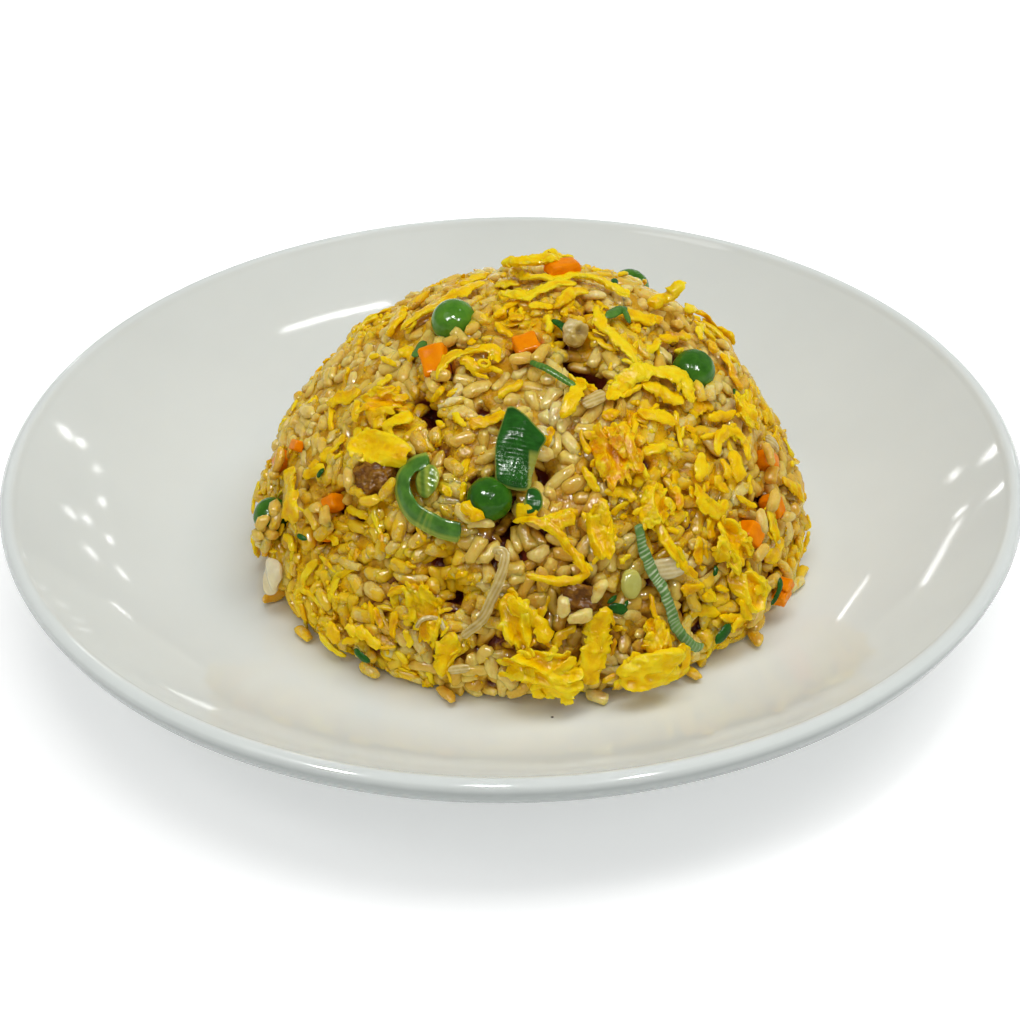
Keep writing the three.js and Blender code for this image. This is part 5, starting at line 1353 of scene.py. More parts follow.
def grain_shape(seed, sides=9):
    """One cooked short grain, 2 long and 1 across on its axes: plump, blunt, lopsided, nicked where the germ was."""
    rs = np.random.RandomState(seed)
    a = np.arange(sides) * 2 * np.pi / sides
    t = np.array([-0.985, -0.91, -0.74, -0.42, 0.0, 0.42, 0.74, 0.91, 0.985])
    body = (1 - np.abs(t) ** rs.uniform(3.8, 6.0)) ** 0.5
    body = body * (1 + 0.05 * rs.randn(len(t))) * (1 + rs.uniform(-0.12, 0.12) * t)
    body[-2:] *= rs.uniform(0.85, 1.0)
    x = np.repeat(t, sides)
    v = np.stack([x, (body[:, None] * np.cos(a)).ravel(), (body[:, None] * np.sin(a)).ravel()], 1)
    v = np.vstack([v, [[-1.0, 0, 0], [1.0, 0, 0]]])
    v = v * (1 + 0.14 * noise(v * [2.0, 1.1, 1.1] + seed * 5.1, seed) + 0.08 * noise(v * [4.0, 2.4, 2.4] + seed * 3.3, seed + 1))[:, None]
    v[:, 2] = np.where(v[:, 2] < 0, v[:, 2] * 0.86, v[:, 2])
    v[:, 1] += rs.uniform(-0.34, 0.34) * (1 - v[:, 0] ** 2)
    for _ in range(2):
        w = unit(rs.randn(3) * [1.4, 1, 1])
        away = np.linalg.norm(v - w * [0.7, 0.9, 0.9], axis=1)
        v = v * (1 - rs.uniform(0.06, 0.20) * np.exp(-(away / 0.42) ** 2))[:, None]
    nick = np.exp(-((v[:, 0] - 0.8) ** 2 + (v[:, 1] - 0.5) ** 2) / 0.10)
    v *= (1 - 0.22 * rs.rand() * nick)[:, None]
    return v, tube_faces(len(t), sides)


def sprinkle(n, seed, low=0.0):
    """Directions spread evenly over the half sphere (a jittered spiral)."""
    rs = np.random.RandomState(seed)
    i = np.arange(n) + 0.5
    z = low + (1 - low) * (i / n)
    phi = (i * 137.50776) % 360
    z = np.clip(z + rs.randn(n) * 0.012, low, 0.9995)
    phi = phi + rs.randn(n) * 2.2 / np.sqrt(np.maximum(1 - z * z, 0.01))
    return dir_of(phi, np.degrees(np.arcsin(z)))


GAPS = [[-71.0, 8.8], [-50.4, 78.0], [-99.7, 31.2], [-81.8, 19.0], [-110.4, 15.1], [-137.5, 57.4], [-86.2, 4.2], [-54.7, 30.2],
        [-79.4, 27.9], [-57.1, 8.8], [-118.1, 46.3], [-94.5, 30.0], [-114.3, 27.1], [-112.0, 23.4], [-61.2, 13.8], [-142.1, 37.4],
        [-55.2, 20.3], [-87.2, 34.2], [-132.8, 52.5], [-123.2, 8.3], [-101.3, 12.8], [-89.6, 16.8], [-109.3, 18.7], [-98.1, 14.5],
        [-106, 12], [-75, 13], [-20, 40], [15, 60], [60, 35], [85, 50], [110, 45], [135, 30], [150, 62], [172, 35], [30, 20], [75, 12]]
PITS = [[-64.6, 77.5, 1.3, 3], [-67.8, 74.5, 1.8, 4], [-68.1, 71.3, 2.2, 5], [-67.0, 68.3, 2.8, 6], [-64.6, 66.0, 3.3, 6],
        [-60.8, 64.2, 3.2, 6], [-59.3, 61.4, 2.4, 5], [-59.6, 59.0, 1.4, 4], [-139.5, 56.3, 1.6, 4], [-133.4, 55.5, 2.5, 6],
        [-128.5, 54.0, 2.2, 5], [-97.3, 37.8, 2.3, 6], [-97.2, 34.6, 2.2, 5], [-88.3, 46, 1.7, 3], [-107, 20, 1.5, 1.8], [-109.5, 22.5, 1.3, 1.8], [-112, 27, 1.2, 1.6],
        [38, 47, 2.4, 4], [96, 33, 2.4, 4], [-176, 44, 2.2, 4], [64, 62, 2.4, 4], [140, 55, 2.4, 4], [9, 25, 2.4, 4], [125, 18, 2.2, 4]]
_rs = np.random.RandomState(77)
for _d in sprinkle(60, 21):
    PITS.append([math.degrees(math.atan2(_d[1], _d[0])) + _rs.uniform(-8, 8), math.degrees(math.asin(_d[2])) + _rs.uniform(-3, 3),
                 _rs.uniform(1.3, 1.9), _rs.uniform(2.0, 3.5)])
for _p in PITS:
    if float(table_at(COVER, dir_of(np.array([_p[0]]), np.array([_p[1]])))[0]) < 0.5:
        BALLS.append([*surface(dir_of(np.array([_p[0]]), np.array([_p[1]])), np.array([-0.8]))[0], _p[2] * 0.9])
for _p in GAPS:
    if float(table_at(COVER, dir_of(np.array([float(_p[0])]), np.array([float(_p[1])])))[0]) < 0.5:
        BALLS.append([*surface(dir_of(np.array([float(_p[0])]), np.array([float(_p[1])])), np.array([-0.6]))[0], 0.9])

GRAINS, KINDS = 2400, 24
HEAPED = [  # grains that lie against what is half buried: phi, theta, then mm east, north and out, spin, tilt
    (-159, 73.3, 6.0, -3.8, 0.9, 60, 20), (-159, 73.3, 6.5, -0.6, 1.1, 15, -15), (-159, 73.3, 6.3, 2.6, 0.9, -40, 15),
    (-159, 73.3, 5.0, 5.0, 0.7, 20, 10), (-159, 73.3, 4.2, -5.4, 0.4, -30, 20), (-159, 73.3, 7.6, 1.2, 0.2, 80, 0),
    (-163, 15.7, 5.6, -3.6, 0.9, 70, 10), (-163, 15.7, 6.2, -0.4, 1.2, 20, -15), (-163, 15.7, 5.7, 2.8, 1.0, -50, 10),
    (-163, 15.7, 4.6, 1.0, 2.7, 80, 0), (-163, 15.7, 4.9, -2.2, 2.5, 40, 10), (-163, 15.7, 4.2, 4.6, 1.6, 0, 10), (-163, 15.7, 3.4, -4.8, 1.4, 30, 0),
    (-23.7, 53.9, -2.2, -5.4, 0.9, 25, 10), (-23.7, 53.9, 1.6, -5.7, 0.8, -20, -10), (-23.7, 53.9, -5.0, -3.0, 1.0, 60, 10),
    (-101.6, 40.8, -4.6, -3.6, 0.9, -40, 10), (-101.6, 40.8, -1.2, -5.6, 0.8, 10, 0),
    (-140.8, 64.3, 4.9, -2.0, 0.9, 30, 10), (-140.8, 64.3, 3.6, -4.4, 0.6, -20, 0),
    (-143.3, 29.5, -2.2, -3.0, 1.3, 30, 10), (-143.3, 29.5, 2.4, -2.4, 1.2, -40, 10), (-142.9, 22.8, 2.2, 2.0, 1.3, 60, 0), (-142.9, 22.8, -2.0, 2.4, 1.2, -20, 0),
    (-171.8, 24, 3.6, -1.6, 1.5, 20, 10), (-171.8, 24, 3.4, 2.0, 1.4, -60, 0),
    (-38.2, 21.8, -1.4, -3.8, 1.2, 10, 0), (-38.2, 21.8, 3.4, 1.4, 1.4, 70, 0), (-27.4, 22, -2.2, 3.2, 1.3, 30, 10), (-27.4, 22, 1.4, -3.6, 1.4, -30, 0),
    (-19.9, 29, -2.6, 3.0, 1.4, 60, 0), (-19.9, 29, -3.2, -2.0, 1.3, 20, 10), (-94.1, 73.8, -0.8, -4.2, 0.7, 10, 0), (-94.1, 73.8, 3.4, -3.2, 0.8, 60, 0),
    (-133.5, 38.5, -4.6, -2.6, 1.9, -50, 10), (-133.5, 38.5, -1.6, -4.3, 1.8, 10, 0), (-133.5, 38.5, 2.6, -4.2, 1.7, 30, 10), (-133.5, 38.5, 5.4, -0.6, 1.6, 80, 0),
    (-133.5, 38.5, -5.2, 1.4, 1.8, 70, 0), (-81.5, 22.3, -4.0, -1.0, 1.6, 80, 0), (-81.5, 22.3, -0.4, -3.6, 1.5, 10, 0), (-81.5, 22.3, 3.9, 1.2, 1.5, 60, 0),
]


PALE = [[-117.5, 72.1], [-102.5, 67.4], [-116.1, 64.4], [-78.5, 48.9], [-69.2, 50.8], [-85.4, 56.2], [-64.9, 44.0], [-126.5, 58.4],
        [-179.6, 55.9], [-161.1, 60.9], [-129.6, 17.9], [-125.4, 21.4], [-96.6, 24.9], [-102.9, 14.0], [-54.2, 23.2], [1.1, 74.1],
        [40, 50], [90, 60], [120, 30], [160, 22], [70, 25]]   # where the grains are paler than round about


def heap_of_rice():
    rs = np.random.RandomState(7)
    n = GRAINS
    d = sprinkle(n, 3)
    nrm = unit(table_at(TAB_N, d))
    roof = np.maximum(table_at(ROOF, d), 0)
    c = O + d * (table_at(TAB_S, d) - roof - rs.uniform(0.8, 2.6, n))[:, None]
    east = unit(np.cross([0, 0, 1.0], nrm) + 1e-6)
    north = np.cross(nrm, east)
    # neighbours lie more or less alike, in clumps
    ang = 2.4 * np.pi * fractal(c / 11.0, 17, 2) + rs.randn(n) * 0.75
    tilt = np.radians(np.where(rs.rand(n) < 0.82, rs.randn(n) * 13, rs.choice([-1, 1], n) * rs.uniform(30, 75, n)))
    ax = unit((east * np.cos(ang)[:, None] + north * np.sin(ang)[:, None]) * np.cos(tilt)[:, None] + nrm * np.sin(tilt)[:, None])
    length = np.clip(rs.normal(6.6, 0.75, n), 4.6, 8.2)
    length = np.where(rs.rand(n) < 0.16, length * rs.uniform(0.5, 0.75, n), length)
    width = np.clip(rs.normal(3.15, 0.28, n), 2.5, 3.9)
    length = np.maximum(length, width * 1.10)
    thick = width * rs.uniform(0.78, 0.95, n)
    out = np.clip(2.0 * clumps(c) + rs.normal(-0.35, 0.35, n), -2.4, 1.1)
    out = np.where(table_at(COVER, d) > 0.5, np.maximum(out, 0.5), out)
    c, ax = settle(c, ax, length, width, out)
    return c, ax, length, width, thick, rs


def pressed(p, moulded):
    """Grains give way to their neighbours, and are flattened where the bowl pressed on them."""
    p = p + 0.24 * np.stack([noise(p / 1.9 + 5.0 * k, 61 + k) for k in range(3)], 1)
    q = p - O
    ln = np.linalg.norm(q, axis=1)
    d = q / ln[:, None]
    s = table_at(TAB_S, d)
    deep = s - ln
    run = merged(O + d * 66)
    level = 0.45 + 0.35 * run - 2.0 * clumps(O + d * 66)
    flat = np.where(moulded & (deep < level), level - (0.62 + 0.22 * run) * (level - deep), deep)
    p = O + d * (s - flat)[:, None]
    p[:, 2] = np.maximum(p[:, 2], ZB)
    return p


LAID_V, LAID_T = [], []


def keep_laid(v, t):
    """Remembers what the rice is made of, for what is strewn on it."""
    LAID_T.append(t + sum(len(x) for x in LAID_V))
    LAID_V.append(v)


def build_rice():
    c, ax, length, width, thick, rs = heap_of_rice()
    n = len(c)
    # a few grains that fell off round the foot of the heap
    f = 14
    phi = rs.uniform(-180, 180, f)
    foot = O + dir_of(phi, np.zeros(f)) * (table_at(TAB_S, dir_of(phi, np.zeros(f))) + rs.uniform(1.2, 2.6, f))[:, None]
    foot[:, 2] = ZB + 1.3
    c = np.vstack([c, foot])
    turn = rs.uniform(0, np.pi, f)
    ax = np.vstack([ax, np.stack([np.cos(turn), np.sin(turn), np.zeros(f)], 1)])
    h = len(HEAPED)
    spots = [Spot(r[0], r[1]) for r in HEAPED]
    spin, tip = np.radians([r[5] for r in HEAPED])[:, None], np.radians([r[6] for r in HEAPED])[:, None]
    east, north, way_out = (np.array([getattr(s, k) for s in spots]) for k in "abn")
    c = np.vstack([c, [s.on(r[2], r[3], r[4]) for s, r in zip(spots, HEAPED)]])
    ax = np.vstack([ax, (east * np.cos(spin) + north * np.sin(spin)) * np.cos(tip) + way_out * np.sin(tip)])
    length, width, thick = (np.append(a, np.append(np.full(f, v), rs.uniform(w * 0.85, w, h)))
                            for a, v, w in ((length, 5.8, 6.0), (width, 2.9, 3.1), (thick, 2.6, 2.8)))
    n += f + h
    q = c - O
    deep = table_at(TAB_S, unit(q)) - np.linalg.norm(q, axis=1)
    nrm = unit(table_at(TAB_N, unit(q)))
    up = unit(nrm + 0.55 * rs.randn(n, 3))
    side = unit(np.cross(up, ax))
    up = np.cross(ax, side)
    shapes = [grain_shape(100 + k) for k in range(KINDS)]
    kind = rs.randint(0, KINDS, n)
    pick = np.clip(0.18 + 0.62 * rs.beta(2.0, 2.0, n) + 0.30 * fractal(c / 10.0, 5, 2), 0, 1)
    pick += (0.42 - pick) * 0.35 * merged(c)
    at = dir_of(np.array([float(p[0]) for p in PALE]), np.array([float(p[1]) for p in PALE])) * 66.0
    away = np.linalg.norm(unit(q)[:, None] * 66.0 - at[None], axis=-1)
    pick = np.clip(pick + 0.22 * np.exp(-(away / 5.0) ** 2).max(1) - 0.04, 0, 1)
    yolk = yolk_amount(c)
    sunk = np.clip((deep - 2.6) / 3.0, 0, 1)
    bend = rs.randn(n) * 0.12
    for gi, ids in enumerate(np.array_split(np.argsort(rs.rand(n)), 3)):
        mesh = Mesh()
        for k in range(KINDS):
            sel = ids[kind[ids] == k]
            if not len(sel):
                continue
            v, t = shapes[k]
            m = len(v)
            w = v[None] * np.stack([length[sel] / 2, width[sel] / 2, thick[sel] / 2], 1)[:, None, :]
            w[..., 2] += bend[sel][:, None] * width[sel][:, None] * (1 - (w[..., 0] / (length[sel][:, None] / 2)) ** 2)
            p = c[sel][:, None] + w[..., :1] * ax[sel][:, None] + w[..., 1:2] * side[sel][:, None] + w[..., 2:] * up[sel][:, None]
            p = pressed(p.reshape(-1, 3), np.repeat(sel < GRAINS, m))
            tt = (t[None] + (np.arange(len(sel)) * m)[:, None, None]).reshape(-1, 3)
            pv = p - O
            # painted shade: how far each grain point lies below the heap's outside, more near the gaps, sets how dark
            # it is painted
            low = np.clip((table_at(TAB_S, unit(pv)) - np.linalg.norm(pv, axis=1) - 0.9) / 3.2, 0, 1) * (1 - 0.4 * merged(O + unit(pv) * 66))
            low = np.clip(low * (1 + 1.1 * gaps(unit(pv))), 0, 1)
            keep_laid(p, tt)
            mesh.add(p, tt, pick=np.repeat(pick[sel], m), yolk=np.repeat(yolk[sel], m), deep=low)
        mesh.build(("rice_grains_a", "rice_grains_b", "rice_grains_c")[gi], RICE, ["rice_mound"], "rice")


def build_core():
    """The sticky body under the outer grains: lumps of finer rice and egg, with clefts between the clumps."""
    na, nt = 360, 112
    phi = np.arange(na) * 360.0 / na
    theta = np.linspace(0, 90, nt, endpoint=False)
    p = dir_of(phi[None, :], theta[:, None]).reshape(-1, 3)
    q = p * 66.0
    lump = 0.5 + 0.5 * fractal(q / 2.7, 12, 3)
    cleft = np.clip(1 - np.abs(fractal(q / 7.5, 14, 2)) / 0.10, 0, 1) * np.clip(fractal(q / 14.0, 15, 2) * 2.2 + 0.35, 0, 1)
    run = merged(O + q)
    deep = (3.3 - 2.1 * lump) * (1 - 0.45 * run) + 2.2 * cleft * (1 - 0.5 * run) - 1.5 * (1 - 0.2 * run) * clumps(O + q)
    for (phi_p, theta_p, r_p, deep_p) in PITS:
        away = np.linalg.norm(q - dir_of(float(phi_p), float(theta_p)) * 66.0, axis=1) / r_p
        near = away < 2.2
        deep[near] += deep_p * np.exp(-away[near] ** 4)
    near_gap = gaps(p)
    deep = np.maximum(deep + 1.3 * near_gap, table_at(ROOF, p) + 0.5)
    v = O + p * (table_at(TAB_S, p) - deep)[:, None]
    v[:na, 2] = ZB
    v[:, 2] = np.maximum(v[:, 2], ZB)
    up = np.array([[0, 0, 1.0]])
    top = O + up[0] * (float(table_at(TAB_S, up)[0]) - 3.2)
    v = np.vstack([v, [[O[0], O[1], ZB], top]])
    keep_laid(v, tube_faces(nt, na))
    # painted shade of the core: darker the deeper it lies and near the gaps
    shade = np.clip((deep - 1.0) / 4.2 + 0.15 * near_gap, 0, 1) * (1 - 0.25 * np.append(run, [0, 0])[:len(deep)])
    Mesh().add(v, tube_faces(nt, na), deep=np.append(shade, [0.3, 0.3]), yolk=np.append(yolk_amount(O + p * 66), [0.5, 0.5])) \
        .build("rice_core", CORE, ["rice_mound"], "rice")


build_core()
build_rice()
TREE = BVHTree.FromPolygons(np.concatenate(LAID_V).tolist(), np.concatenate(LAID_T).tolist())


def rice_top(d):
    """How far above the smooth outside the rice reaches in these directions, in mm."""
    s = table_at(TAB_S, d)
    out = []
    for k, r in zip(d, s):
        hit = TREE.ray_cast(Vector(O + k * 120.0), Vector(-k))
        out.append(120.0 - hit[3] - r if hit[0] is not None else -3.0)
    return np.array(out)


# ---------------------------------------------------------------- egg in shreds and crumbs, everywhere on the heap
SEEN = [  # phi, theta, spin, length, width
    (-84, 38, 16, 7.2, 3.9), (-42, 55, -54, 11, 4.2), (-32, 48, -16, 7.2, 4), (-136, 50, 55, 7.3, 4.2),
    (-25, 82, -24, 10.6, 4.2), (-106, 56, 30, 8.4, 3.6), (-33, 15, -19, 11, 4), (-164, 46, 60, 11, 4.2),
    (27, 44, -77, 11, 4.2), (-45, 39, 38, 6.9, 3.7), (-16, 19, -65, 11, 4.2), (-69, 40, -22, 7.6, 3),
    (-58, 19, -14, 6.1, 2.8), (-132, 7, -58, 5.4, 4.2), (-85, 15, 42, 7.1, 3.1), (-49, 51, -36, 11, 3.4),
    (-152, 38, 82, 8.9, 4.2), (-13, 67, -55, 10.1, 4.2), (-64, 55, -4, 4.5, 2.7), (-73, 84, -32, 5.6, 4.2),
    (14, 55, -36, 11, 3.9), (-76, 78, 78, 5.6, 2.3), (-161, 62, 31, 5, 3.7), (-28, 63, -3, 6.9, 2.6),
    (-6, 45, 42, 10.9, 4.2), (-116, 55, -33, 5.2, 2), (-27, 44, -21, 10.6, 2.7), (-34, 35, 60, 7.8, 4),
    (-161, 10, 59, 10.9, 4.2), (-54, 25, 74, 6.3, 3.1), (-127, 10, -50, 3.1, 3.3), (-123, 10, -14, 7.3, 3.1),
    (170, 61, -12, 11, 4.2), (-119, 67, -1, 7.6, 2.7), (-85, 53, 75, 4.9, 2.2), (-75, 44, -66, 6.7, 2.3),
    (-42, 34, -69, 5.3, 2.9), (-55, 36, 70, 5.4, 2.6), (-49, 28, 56, 5.2, 2.9), (-14, 60, -36, 10.5, 3.5),
    (-38, 36, 64, 4.9, 2.7), (-151, 17, -10, 5.9, 3.4), (126, 82, -78, 6.7, 4.2), (-48, 70, -84, 8.3, 2.6),
    (-53, 64, 39, 3.1, 2), (-50, 10, -23, 7.3, 2.2), (-118, 14, -80, 6, 2.4), (-92, 14, 34, 4.6, 2.1),
    (129, 71, 9, 8.7, 4.2), (-110, 81, 7, 3.8, 2.5), (22, 40, -5, 7.3, 4.2), (-156, 55, -88, 4.1, 3.5),
    (-100, 63, 37, 6.6, 2.3), (-152, 47, -32, 5.8, 2.8), (-61, 43, -82, 3.8, 1.7), (-71, 28, 37, 3, 2),
    (-119, 20, 32, 5.5, 2), (-117, 77, -32, 6.9, 2.2), (2, 54, -22, 11, 2), (-65, 63, -81, 4.9, 2.1),
    (-130, 59, 58, 4, 2.2), (-52, 58, 7, 5.5, 1.6), (-75, 51, -86, 5.8, 1.6), (-154, 33, 65, 3, 2.8),
    (-143, 6, 60, 5, 3.4), (-115, 12, -72, 4.6, 2.1), (-2, 51, 28, 3.5, 4), (-41, 46, -56, 3, 1.9),
    (-176, 46, 88, 5.9, 4), (-36, 43, -22, 4.7, 1.6), (-9, 27, 35, 3.4, 4.2), (-36, 28, -53, 6.9, 1.8),
    (-67, 18, 89, 5.3, 1.4), (-122, 14, -52, 5, 1.8), (-88, 14, -36, 3.4, 1.2), (-76, 12, 78, 4.3, 1.4),
    (-135, 81, 83, 3.8, 2), (-163, 58, 17, 6.2, 1.4), (-109, 67, -19, 3.8, 1.6), (-114, 65, -9, 3.7, 1.2),
    (-59, 53, 66, 4.1, 1.5), (-7, 20, -31, 11, 1.4), (-156, 12, 33, 3.8, 1.1), (-52, 24, 78, 3.8, 1.7),
    (-106, 26, 35, 3.4, 1.4), (-51, 16, -33, 3.5, 1.4), (-143, 8, 25, 3.7, 1.4), (-119, 9, 17, 4.1, 1.2),
    (-77, 6, 28, 3.4, 1.6),
]


def laid(phi, theta, spin):
    """Points on the heap and the directions that lie spin degrees up from east there."""
    d = dir_of(phi, theta)
    n = unit(table_at(TAB_N, d))
    east = unit(np.cross([0, 0, 1.0], n) + 1e-6)
    north = np.cross(n, east)
    s = np.radians(spin)[:, None]
    return d, O + d * table_at(TAB_S, d)[:, None], east * np.cos(s) + north * np.sin(s)


def seen_shreds():
    rs = np.random.RandomState(11)
    a = np.array(SEEN, float)
    d, p, ax = laid(a[:, 0], a[:, 1], a[:, 2])
    under = table_at(COVER, d) > 0.5
    n = len(a)
    m = Mesh()
    shreds(m, p, ax, rs.uniform(0.1, 0.7, n) - 0.5 * under + 0.7 * np.minimum(grain_level(d) + 0.45, 0), np.minimum(a[:, 3], 11) * 0.95, np.minimum(a[:, 4], 4.2) * 0.82,
           rs.uniform(0.8, 1.5, n), 91, steps=16, cross=10, tone=np.clip(rs.normal(0.5, 0.28, n), 0, 1),
           toast=np.where(rs.rand(n) < 0.08, 0.6, 0.0), roll=0.6)
    m.build("egg_shreds_front", EGG, [], "egg")


def more_shreds():
    """Shreds where none is placed: thick round the drifts of egg, some on every side."""
    rs = np.random.RandomState(12)
    d = sprinkle(5200, 13, 0.0)
    rs.shuffle(d)
    w = yolk_amount(surface(d, 0.0)) ** 1.6
    keep = np.where((rs.rand(len(d)) < 0.05 + w) & (table_at(COVER, d) < 0.4) & off_pits(d))[0][:260]
    d = d[keep]
    n = len(d)
    p = O + d * table_at(TAB_S, d)[:, None]
    ax = np.cross(unit(table_at(TAB_N, d)), rs.randn(n, 3))
    size = rs.rand(n) ** 1.6
    m = Mesh()
    lift = rs.uniform(-0.9, 0.45, n) + 0.8 * np.minimum(grain_level(d) + 0.45, 0.5)
    shreds(m, p, ax, np.minimum(lift, rice_top(d) + 0.5), 2.6 + 6.4 * size, 1.0 + 2.2 * rs.rand(n) * (0.5 + 0.5 * size), rs.uniform(0.6, 1.2, n), 93,
           steps=9, cross=7, tone=np.clip(rs.normal(0.55, 0.3, n), 0, 1), toast=np.where(rs.rand(n) < 0.06, 0.6, 0.0), rise=0.35, roll=0.7)
    m.build("egg_shreds_all_round", EGG, [], "egg")


seen_shreds()
more_shreds()


def bit_shape(seed, level):
    ball, tri = icosphere(level)
    rs = np.random.RandomState(seed)
    q = ball * 1.5 + seed * 2.7
    v = ball * (1 + 0.5 * noise(q, seed) + 0.22 * noise(q * 2.3, seed + 1))[:, None]
    v = v * [rs.uniform(1.0, 1.6), rs.uniform(0.8, 1.0), rs.uniform(0.5, 0.8)]
    return v / np.abs(v[:, 0]).max(), tri, np.clip(0.5 + 0.8 * noise(q * 1.4, seed + 3), 0, 1)


def scatter(name, count, level, sizes, seed, depth, amount_power=1.5, kinds=16, flat=0.6):
    rs = np.random.RandomState(seed)
    d = sprinkle(count * 6, seed, 0.0)
    rs.shuffle(d)
    w = yolk_amount(surface(d, 0.0)) ** amount_power
    keep = np.where((rs.rand(len(d)) < w) & (table_at(COVER, d) < 0.3) & off_pits(d))[0][:count]
    d = d[keep]
    n = len(d)
    nrm = unit(table_at(TAB_N, d))
    lift = grain_level(d) + 0.3 - rs.uniform(*depth, n)
    size = np.exp(rs.uniform(np.log(sizes[0]), np.log(sizes[1]), n))
    p = surface(d, np.minimum(lift, rice_top(d) + 0.15 * size))
    up = unit(nrm + flat * rs.randn(n, 3))
    ax = unit(np.cross(up, rs.randn(n, 3)))
    side = np.cross(up, ax)
    shapes = [bit_shape(seed * 50 + k, level) for k in range(kinds)]
    kind = rs.randint(0, kinds, n)
    mesh = Mesh()
    for k in range(kinds):
        sel = np.where(kind == k)[0]
        if not len(sel):
            continue
        v, t, ridge = shapes[k]
        m = len(v)
        w3 = v[None] * (size[sel] / 2)[:, None, None]
        q = p[sel][:, None] + w3[..., :1] * ax[sel][:, None] + w3[..., 1:2] * side[sel][:, None] + w3[..., 2:] * up[sel][:, None]
        q[..., 2] = np.maximum(q[..., 2], ZB)
        tt = (t[None] + (np.arange(len(sel)) * m)[:, None, None]).reshape(-1, 3)
        mesh.add(q.reshape(-1, 3), tt, ridge=np.tile(ridge, len(sel)), toast=np.repeat(np.where(rs.rand(len(sel)) < 0.06, 0.6, 0.0), m),
                 tone=np.repeat(np.clip(rs.normal(0.5, 0.3, len(sel)), 0, 1), m), su=np.tile(v[:, 0] * 2, len(sel)), sv=np.tile(v[:, 1] * 2, len(sel)))
    return mesh.build(name, EGG, [], "egg")


scatter("egg_crumbs", 1000, 1, (0.7, 1.8), 5, (0.3, 1.7), 1.2)
scatter("egg_specks", 1700, 0, (0.5, 1.15), 8, (0.35, 1.9), 0.8)
scatter("egg_bits", 170, 2, (1.9, 3.6), 6, (0.3, 1.7))


def placed_bits():
    """The small things of their own that lie at known places: a ring of egg and bits at the foot."""
    m = Mesh()
    f = Spot(-114.1, 67.0, 15)
    rs = np.random.RandomState(31)
    a = np.linspace(0, 2 * np.pi, 29)[:-1]
    b = np.arange(10) * 2 * np.pi / 10
    A, B = np.meshgrid(a, b, indexing="ij")
    r = 1.05 + 0.16 * np.cos(2 * A + 1)
    tube = 0.42 * (1 + 0.15 * np.sin(3 * A))
    u, v, h = (r + tube * np.cos(B)) * np.cos(A), (r * 0.85 + tube * np.cos(B)) * np.sin(A), 1.0 + tube * np.sin(B)
    pts = f.at(u, v, h).reshape(-1, 3)
    i, j = np.meshgrid(np.arange(28), np.arange(10), indexing="ij")
    p, q, s, t = i * 10 + j, i * 10 + (j + 1) % 10, ((i + 1) % 28) * 10 + (j + 1) % 10, ((i + 1) % 28) * 10 + j
    tri = np.concatenate([np.stack([p, q, s], -1).reshape(-1, 3), np.stack([p, s, t], -1).reshape(-1, 3)])
    m.add(pts, tri, ridge=0.6, su=A.ravel() * 2, sv=B.ravel(), toast=0.0, tone=0.7)
    rows = [(-62.5, 5.7, 84, 9.6, 3.1, 1.2), (-84.9, 36.9, 10, 7.1, 3.6, 0.6), (-47.7, 10.6, 110, 5.4, 2.4, 1.2), (-49.0, 8.4, 40, 5.0, 2.4, 1.0),
            (-89.9, 17.6, -55, 7.4, 3.6, 1.2), (-167, 5.5, 60, 6.4, 3.4, 1.0), (-104.2, 38.0, -30, 5.2, 3.2, 3.3), (-92.2, 38.6, 10, 4.6, 3.6, 1.2)]
    for k, (phi, theta, spin, l, w, h) in enumerate(rows):
        _, p, ax = laid(np.array([float(phi)]), np.array([float(theta)]), np.array([float(spin)]))
        shreds(m, p, ax, h, l, w, 1.3, 300 + k, steps=16, cross=10, tone=0.55, toast=0.0, roll=0.4)
    m.build("egg_odd_bits", EGG, [], "egg")


placed_bits()


def specks():
    """Three black specks of pepper on the plate's well, in front of the heap."""
    ball, tri = icosphere(2)
    g = Graph("pepper")
    col = g.ramp(g.noise(0.8, 3), [(0.3, "1c120a"), (0.7, "3a2614")])
    mat = g.surface(col, g.math("MULTIPLY_ADD", g.noise(0.5, 2), 0.2, 0.5), g.bump(g.noise(0.3, 3), 0.08, 0.6))
    m = Mesh()
    for k, (x, y, s) in enumerate(SPECKS):
        v = ball * (1 + 0.25 * noise(ball * 1.7 + k, 3))[:, None] * [s, s * 0.7, s * 0.5]
        m.add(v + [x, y, 9.0 + s * 0.35], tri)
    m.build("pepper_specks", mat, [], "pork")


SPECKS = [(-40.0, -74.0, 0.35), (8.0, -74.5, 0.30), (37.0, -76.0, 0.35)]
specks()


# ---------------------------------------------------------------- stage and light
def stage():
    me = bpy.data.meshes.new("floor")
    s = 3.0
    me.from_pydata([(-s, -s, 0), (s, -s, 0), (s, s, 0), (-s, s, 0)], [], [(0, 1, 2, 3)])
    g = Graph("floor_white")
    col = g.ramp(g.noise(400, 2), [(0.3, "f8f8f8"), (0.7, "fafafa")])
    g.surface(col, g.math("MULTIPLY_ADD", g.noise(300, 2), 0.05, 0.8), specular=0.1)
    g.bsdf.inputs["Emission Color"].default_value = (1, 1, 1, 1)
    g.bsdf.inputs["Emission Strength"].default_value = 0.38
    me.materials.append(g.m)
    ob = bpy.data.objects.new("floor", me)
    ob.location.z = -0.0002
    scene.collection.objects.link(ob)


stage()
AT = Vector((0, 0, 0.03))


def way(az, el):
    a, e = math.radians(az), math.radians(el)
    return Vector((math.cos(e) * math.cos(a), math.cos(e) * math.sin(a), math.sin(e)))


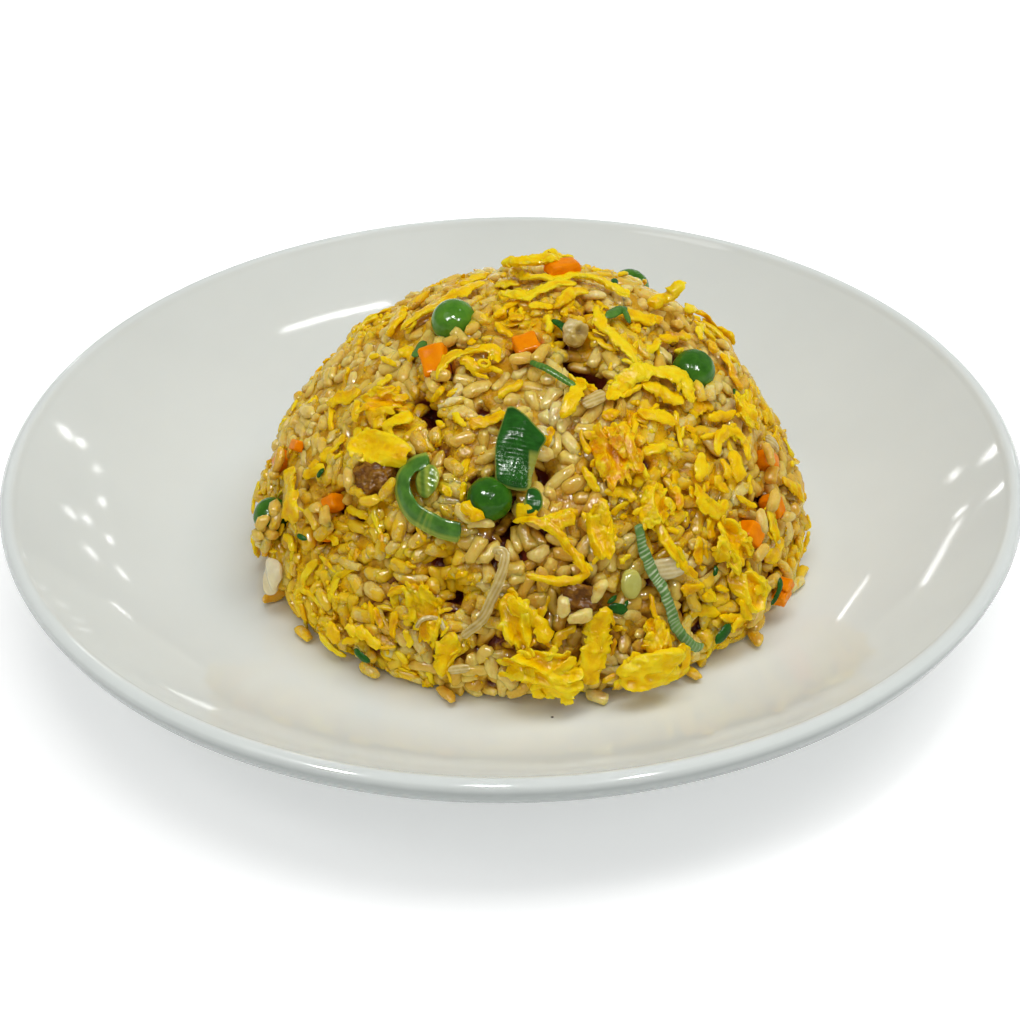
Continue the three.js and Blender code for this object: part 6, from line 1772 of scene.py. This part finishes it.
def lamp(name, place, facing, w, h, radiance, colour=(1, 1, 1), along=None):
    data = bpy.data.lights.new(name, "AREA")
    data.shape, data.size, data.size_y = "RECTANGLE", w, h
    data.energy = radiance * math.pi * w * h
    data.color = colour
    ob = bpy.data.objects.new(name, data)
    z = facing.normalized()
    if along is None:
        rot = z.to_track_quat("Z", "Y")
    else:
        x = (along - z * along.dot(z)).normalized()
        rot = Matrix((x, z.cross(x), z)).transposed().to_quaternion()
    ob.location = place
    ob.rotation_mode = "QUATERNION"
    ob.rotation_quaternion = rot
    scene.collection.objects.link(ob)
    return ob


def panel(name, az, el, dist, w, h, radiance, colour=(1, 1, 1)):
    """A soft light of a given brightness, seen from the plate in direction az, el."""
    return lamp(name, AT + way(az, el) * dist, way(az, el), w, h, radiance, colour)


def bar(name, one, two, dist, thick, radiance, colour=(1, 1, 1)):
    """A narrow light that runs from one direction to another."""
    a, b = AT + way(*one) * dist, AT + way(*two) * dist
    mid = (a + b) / 2
    return lamp(name, mid, mid - AT, (b - a).length, thick, radiance, colour, along=b - a)


world = bpy.data.worlds.new("studio")
scene.world = world
world.use_nodes = True
world.node_tree.nodes["Background"].inputs[0].default_value = (0.985, 0.995, 1.0, 1)
world.node_tree.nodes["Background"].inputs[1].default_value = 0.34

def gleam(name, az, el, size, radiance):
    """A small light that shows only as a gleam on wet surfaces."""
    panel(name, az, el, 1.5, size, size, radiance).visible_diffuse = False


panel("key", -150, 54, 1.4, 0.42, 0.36, 2.9)
panel("overhead", 4, 60, 1.5, 0.7, 0.6, 3.25).visible_glossy = False
panel("top", -90, 86, 1.6, 0.9, 0.6, 4.6).visible_glossy = False
panel("front_fill", -66, 46, 1.5, 0.34, 0.34, 1.3)
gleam("gleam_one", -135, 52, 0.11, 560.0)
gleam("gleam_two", -98, 58, 0.10, 520.0)
gleam("gleam_three", -62, 48, 0.10, 520.0)
bar("arc_back_one", (27.0, 62.5), (20.2, 68.6), 1.5, 0.035, 20.0)
bar("arc_back_two", (20.2, 68.6), (12.0, 76.0), 1.5, 0.045, 20.0)
for k, (az, el, w, h, radiance) in enumerate((
        (56.2, 25.5, 0.035, 0.022, 20), (57.3, 26.9, 0.030, 0.022, 20), (61.9, 26.9, 0.028, 0.018, 12), (67.7, 24.0, 0.030, 0.020, 16),
        (70.2, 18.5, 0.030, 0.020, 12), (69.6, 16.3, 0.030, 0.018, 12), (73.5, 19.8, 0.026, 0.020, 14), (75.1, 13.1, 0.030, 0.018, 10),
        (77.9, 15.8, 0.035, 0.018, 10), (81.9, 5.6, 0.028, 0.016, 9),
        (115.4, 16.1, 0.040, 0.024, 18), (114.1, 19.7, 0.032, 0.020, 14), (108.5, 9.7, 0.032, 0.020, 12), (107.7, 12.7, 0.026, 0.018, 12))):
    panel("window_%02d" % k, az, el, 1.4, w, h, radiance)
for name, way_points, thick, radiance in (
        ("streak_wide", ((92.1, 14.6), (92.8, 15.4), (93.5, 18.3), (94.7, 20.5), (97.5, 21.3)), 0.030, 7.0),
        ("streak_thin", ((93.2, 0.2), (94.8, 2.2), (97.0, 4.3), (98.2, 4.0), (101.0, 7.1), (104.1, 10.0), (106.4, 11.3)), 0.012, 8.0)):
    for k in range(len(way_points) - 1):
        bar("%s_%d" % (name, k), way_points[k], way_points[k + 1], 1.4, thick, radiance)

scene.view_settings.view_transform = "Standard"
scene.view_settings.look = "None"
scene.view_settings.exposure = 0.0

# ---------------------------------------------------------------- update
bpy.context.view_layer.update()
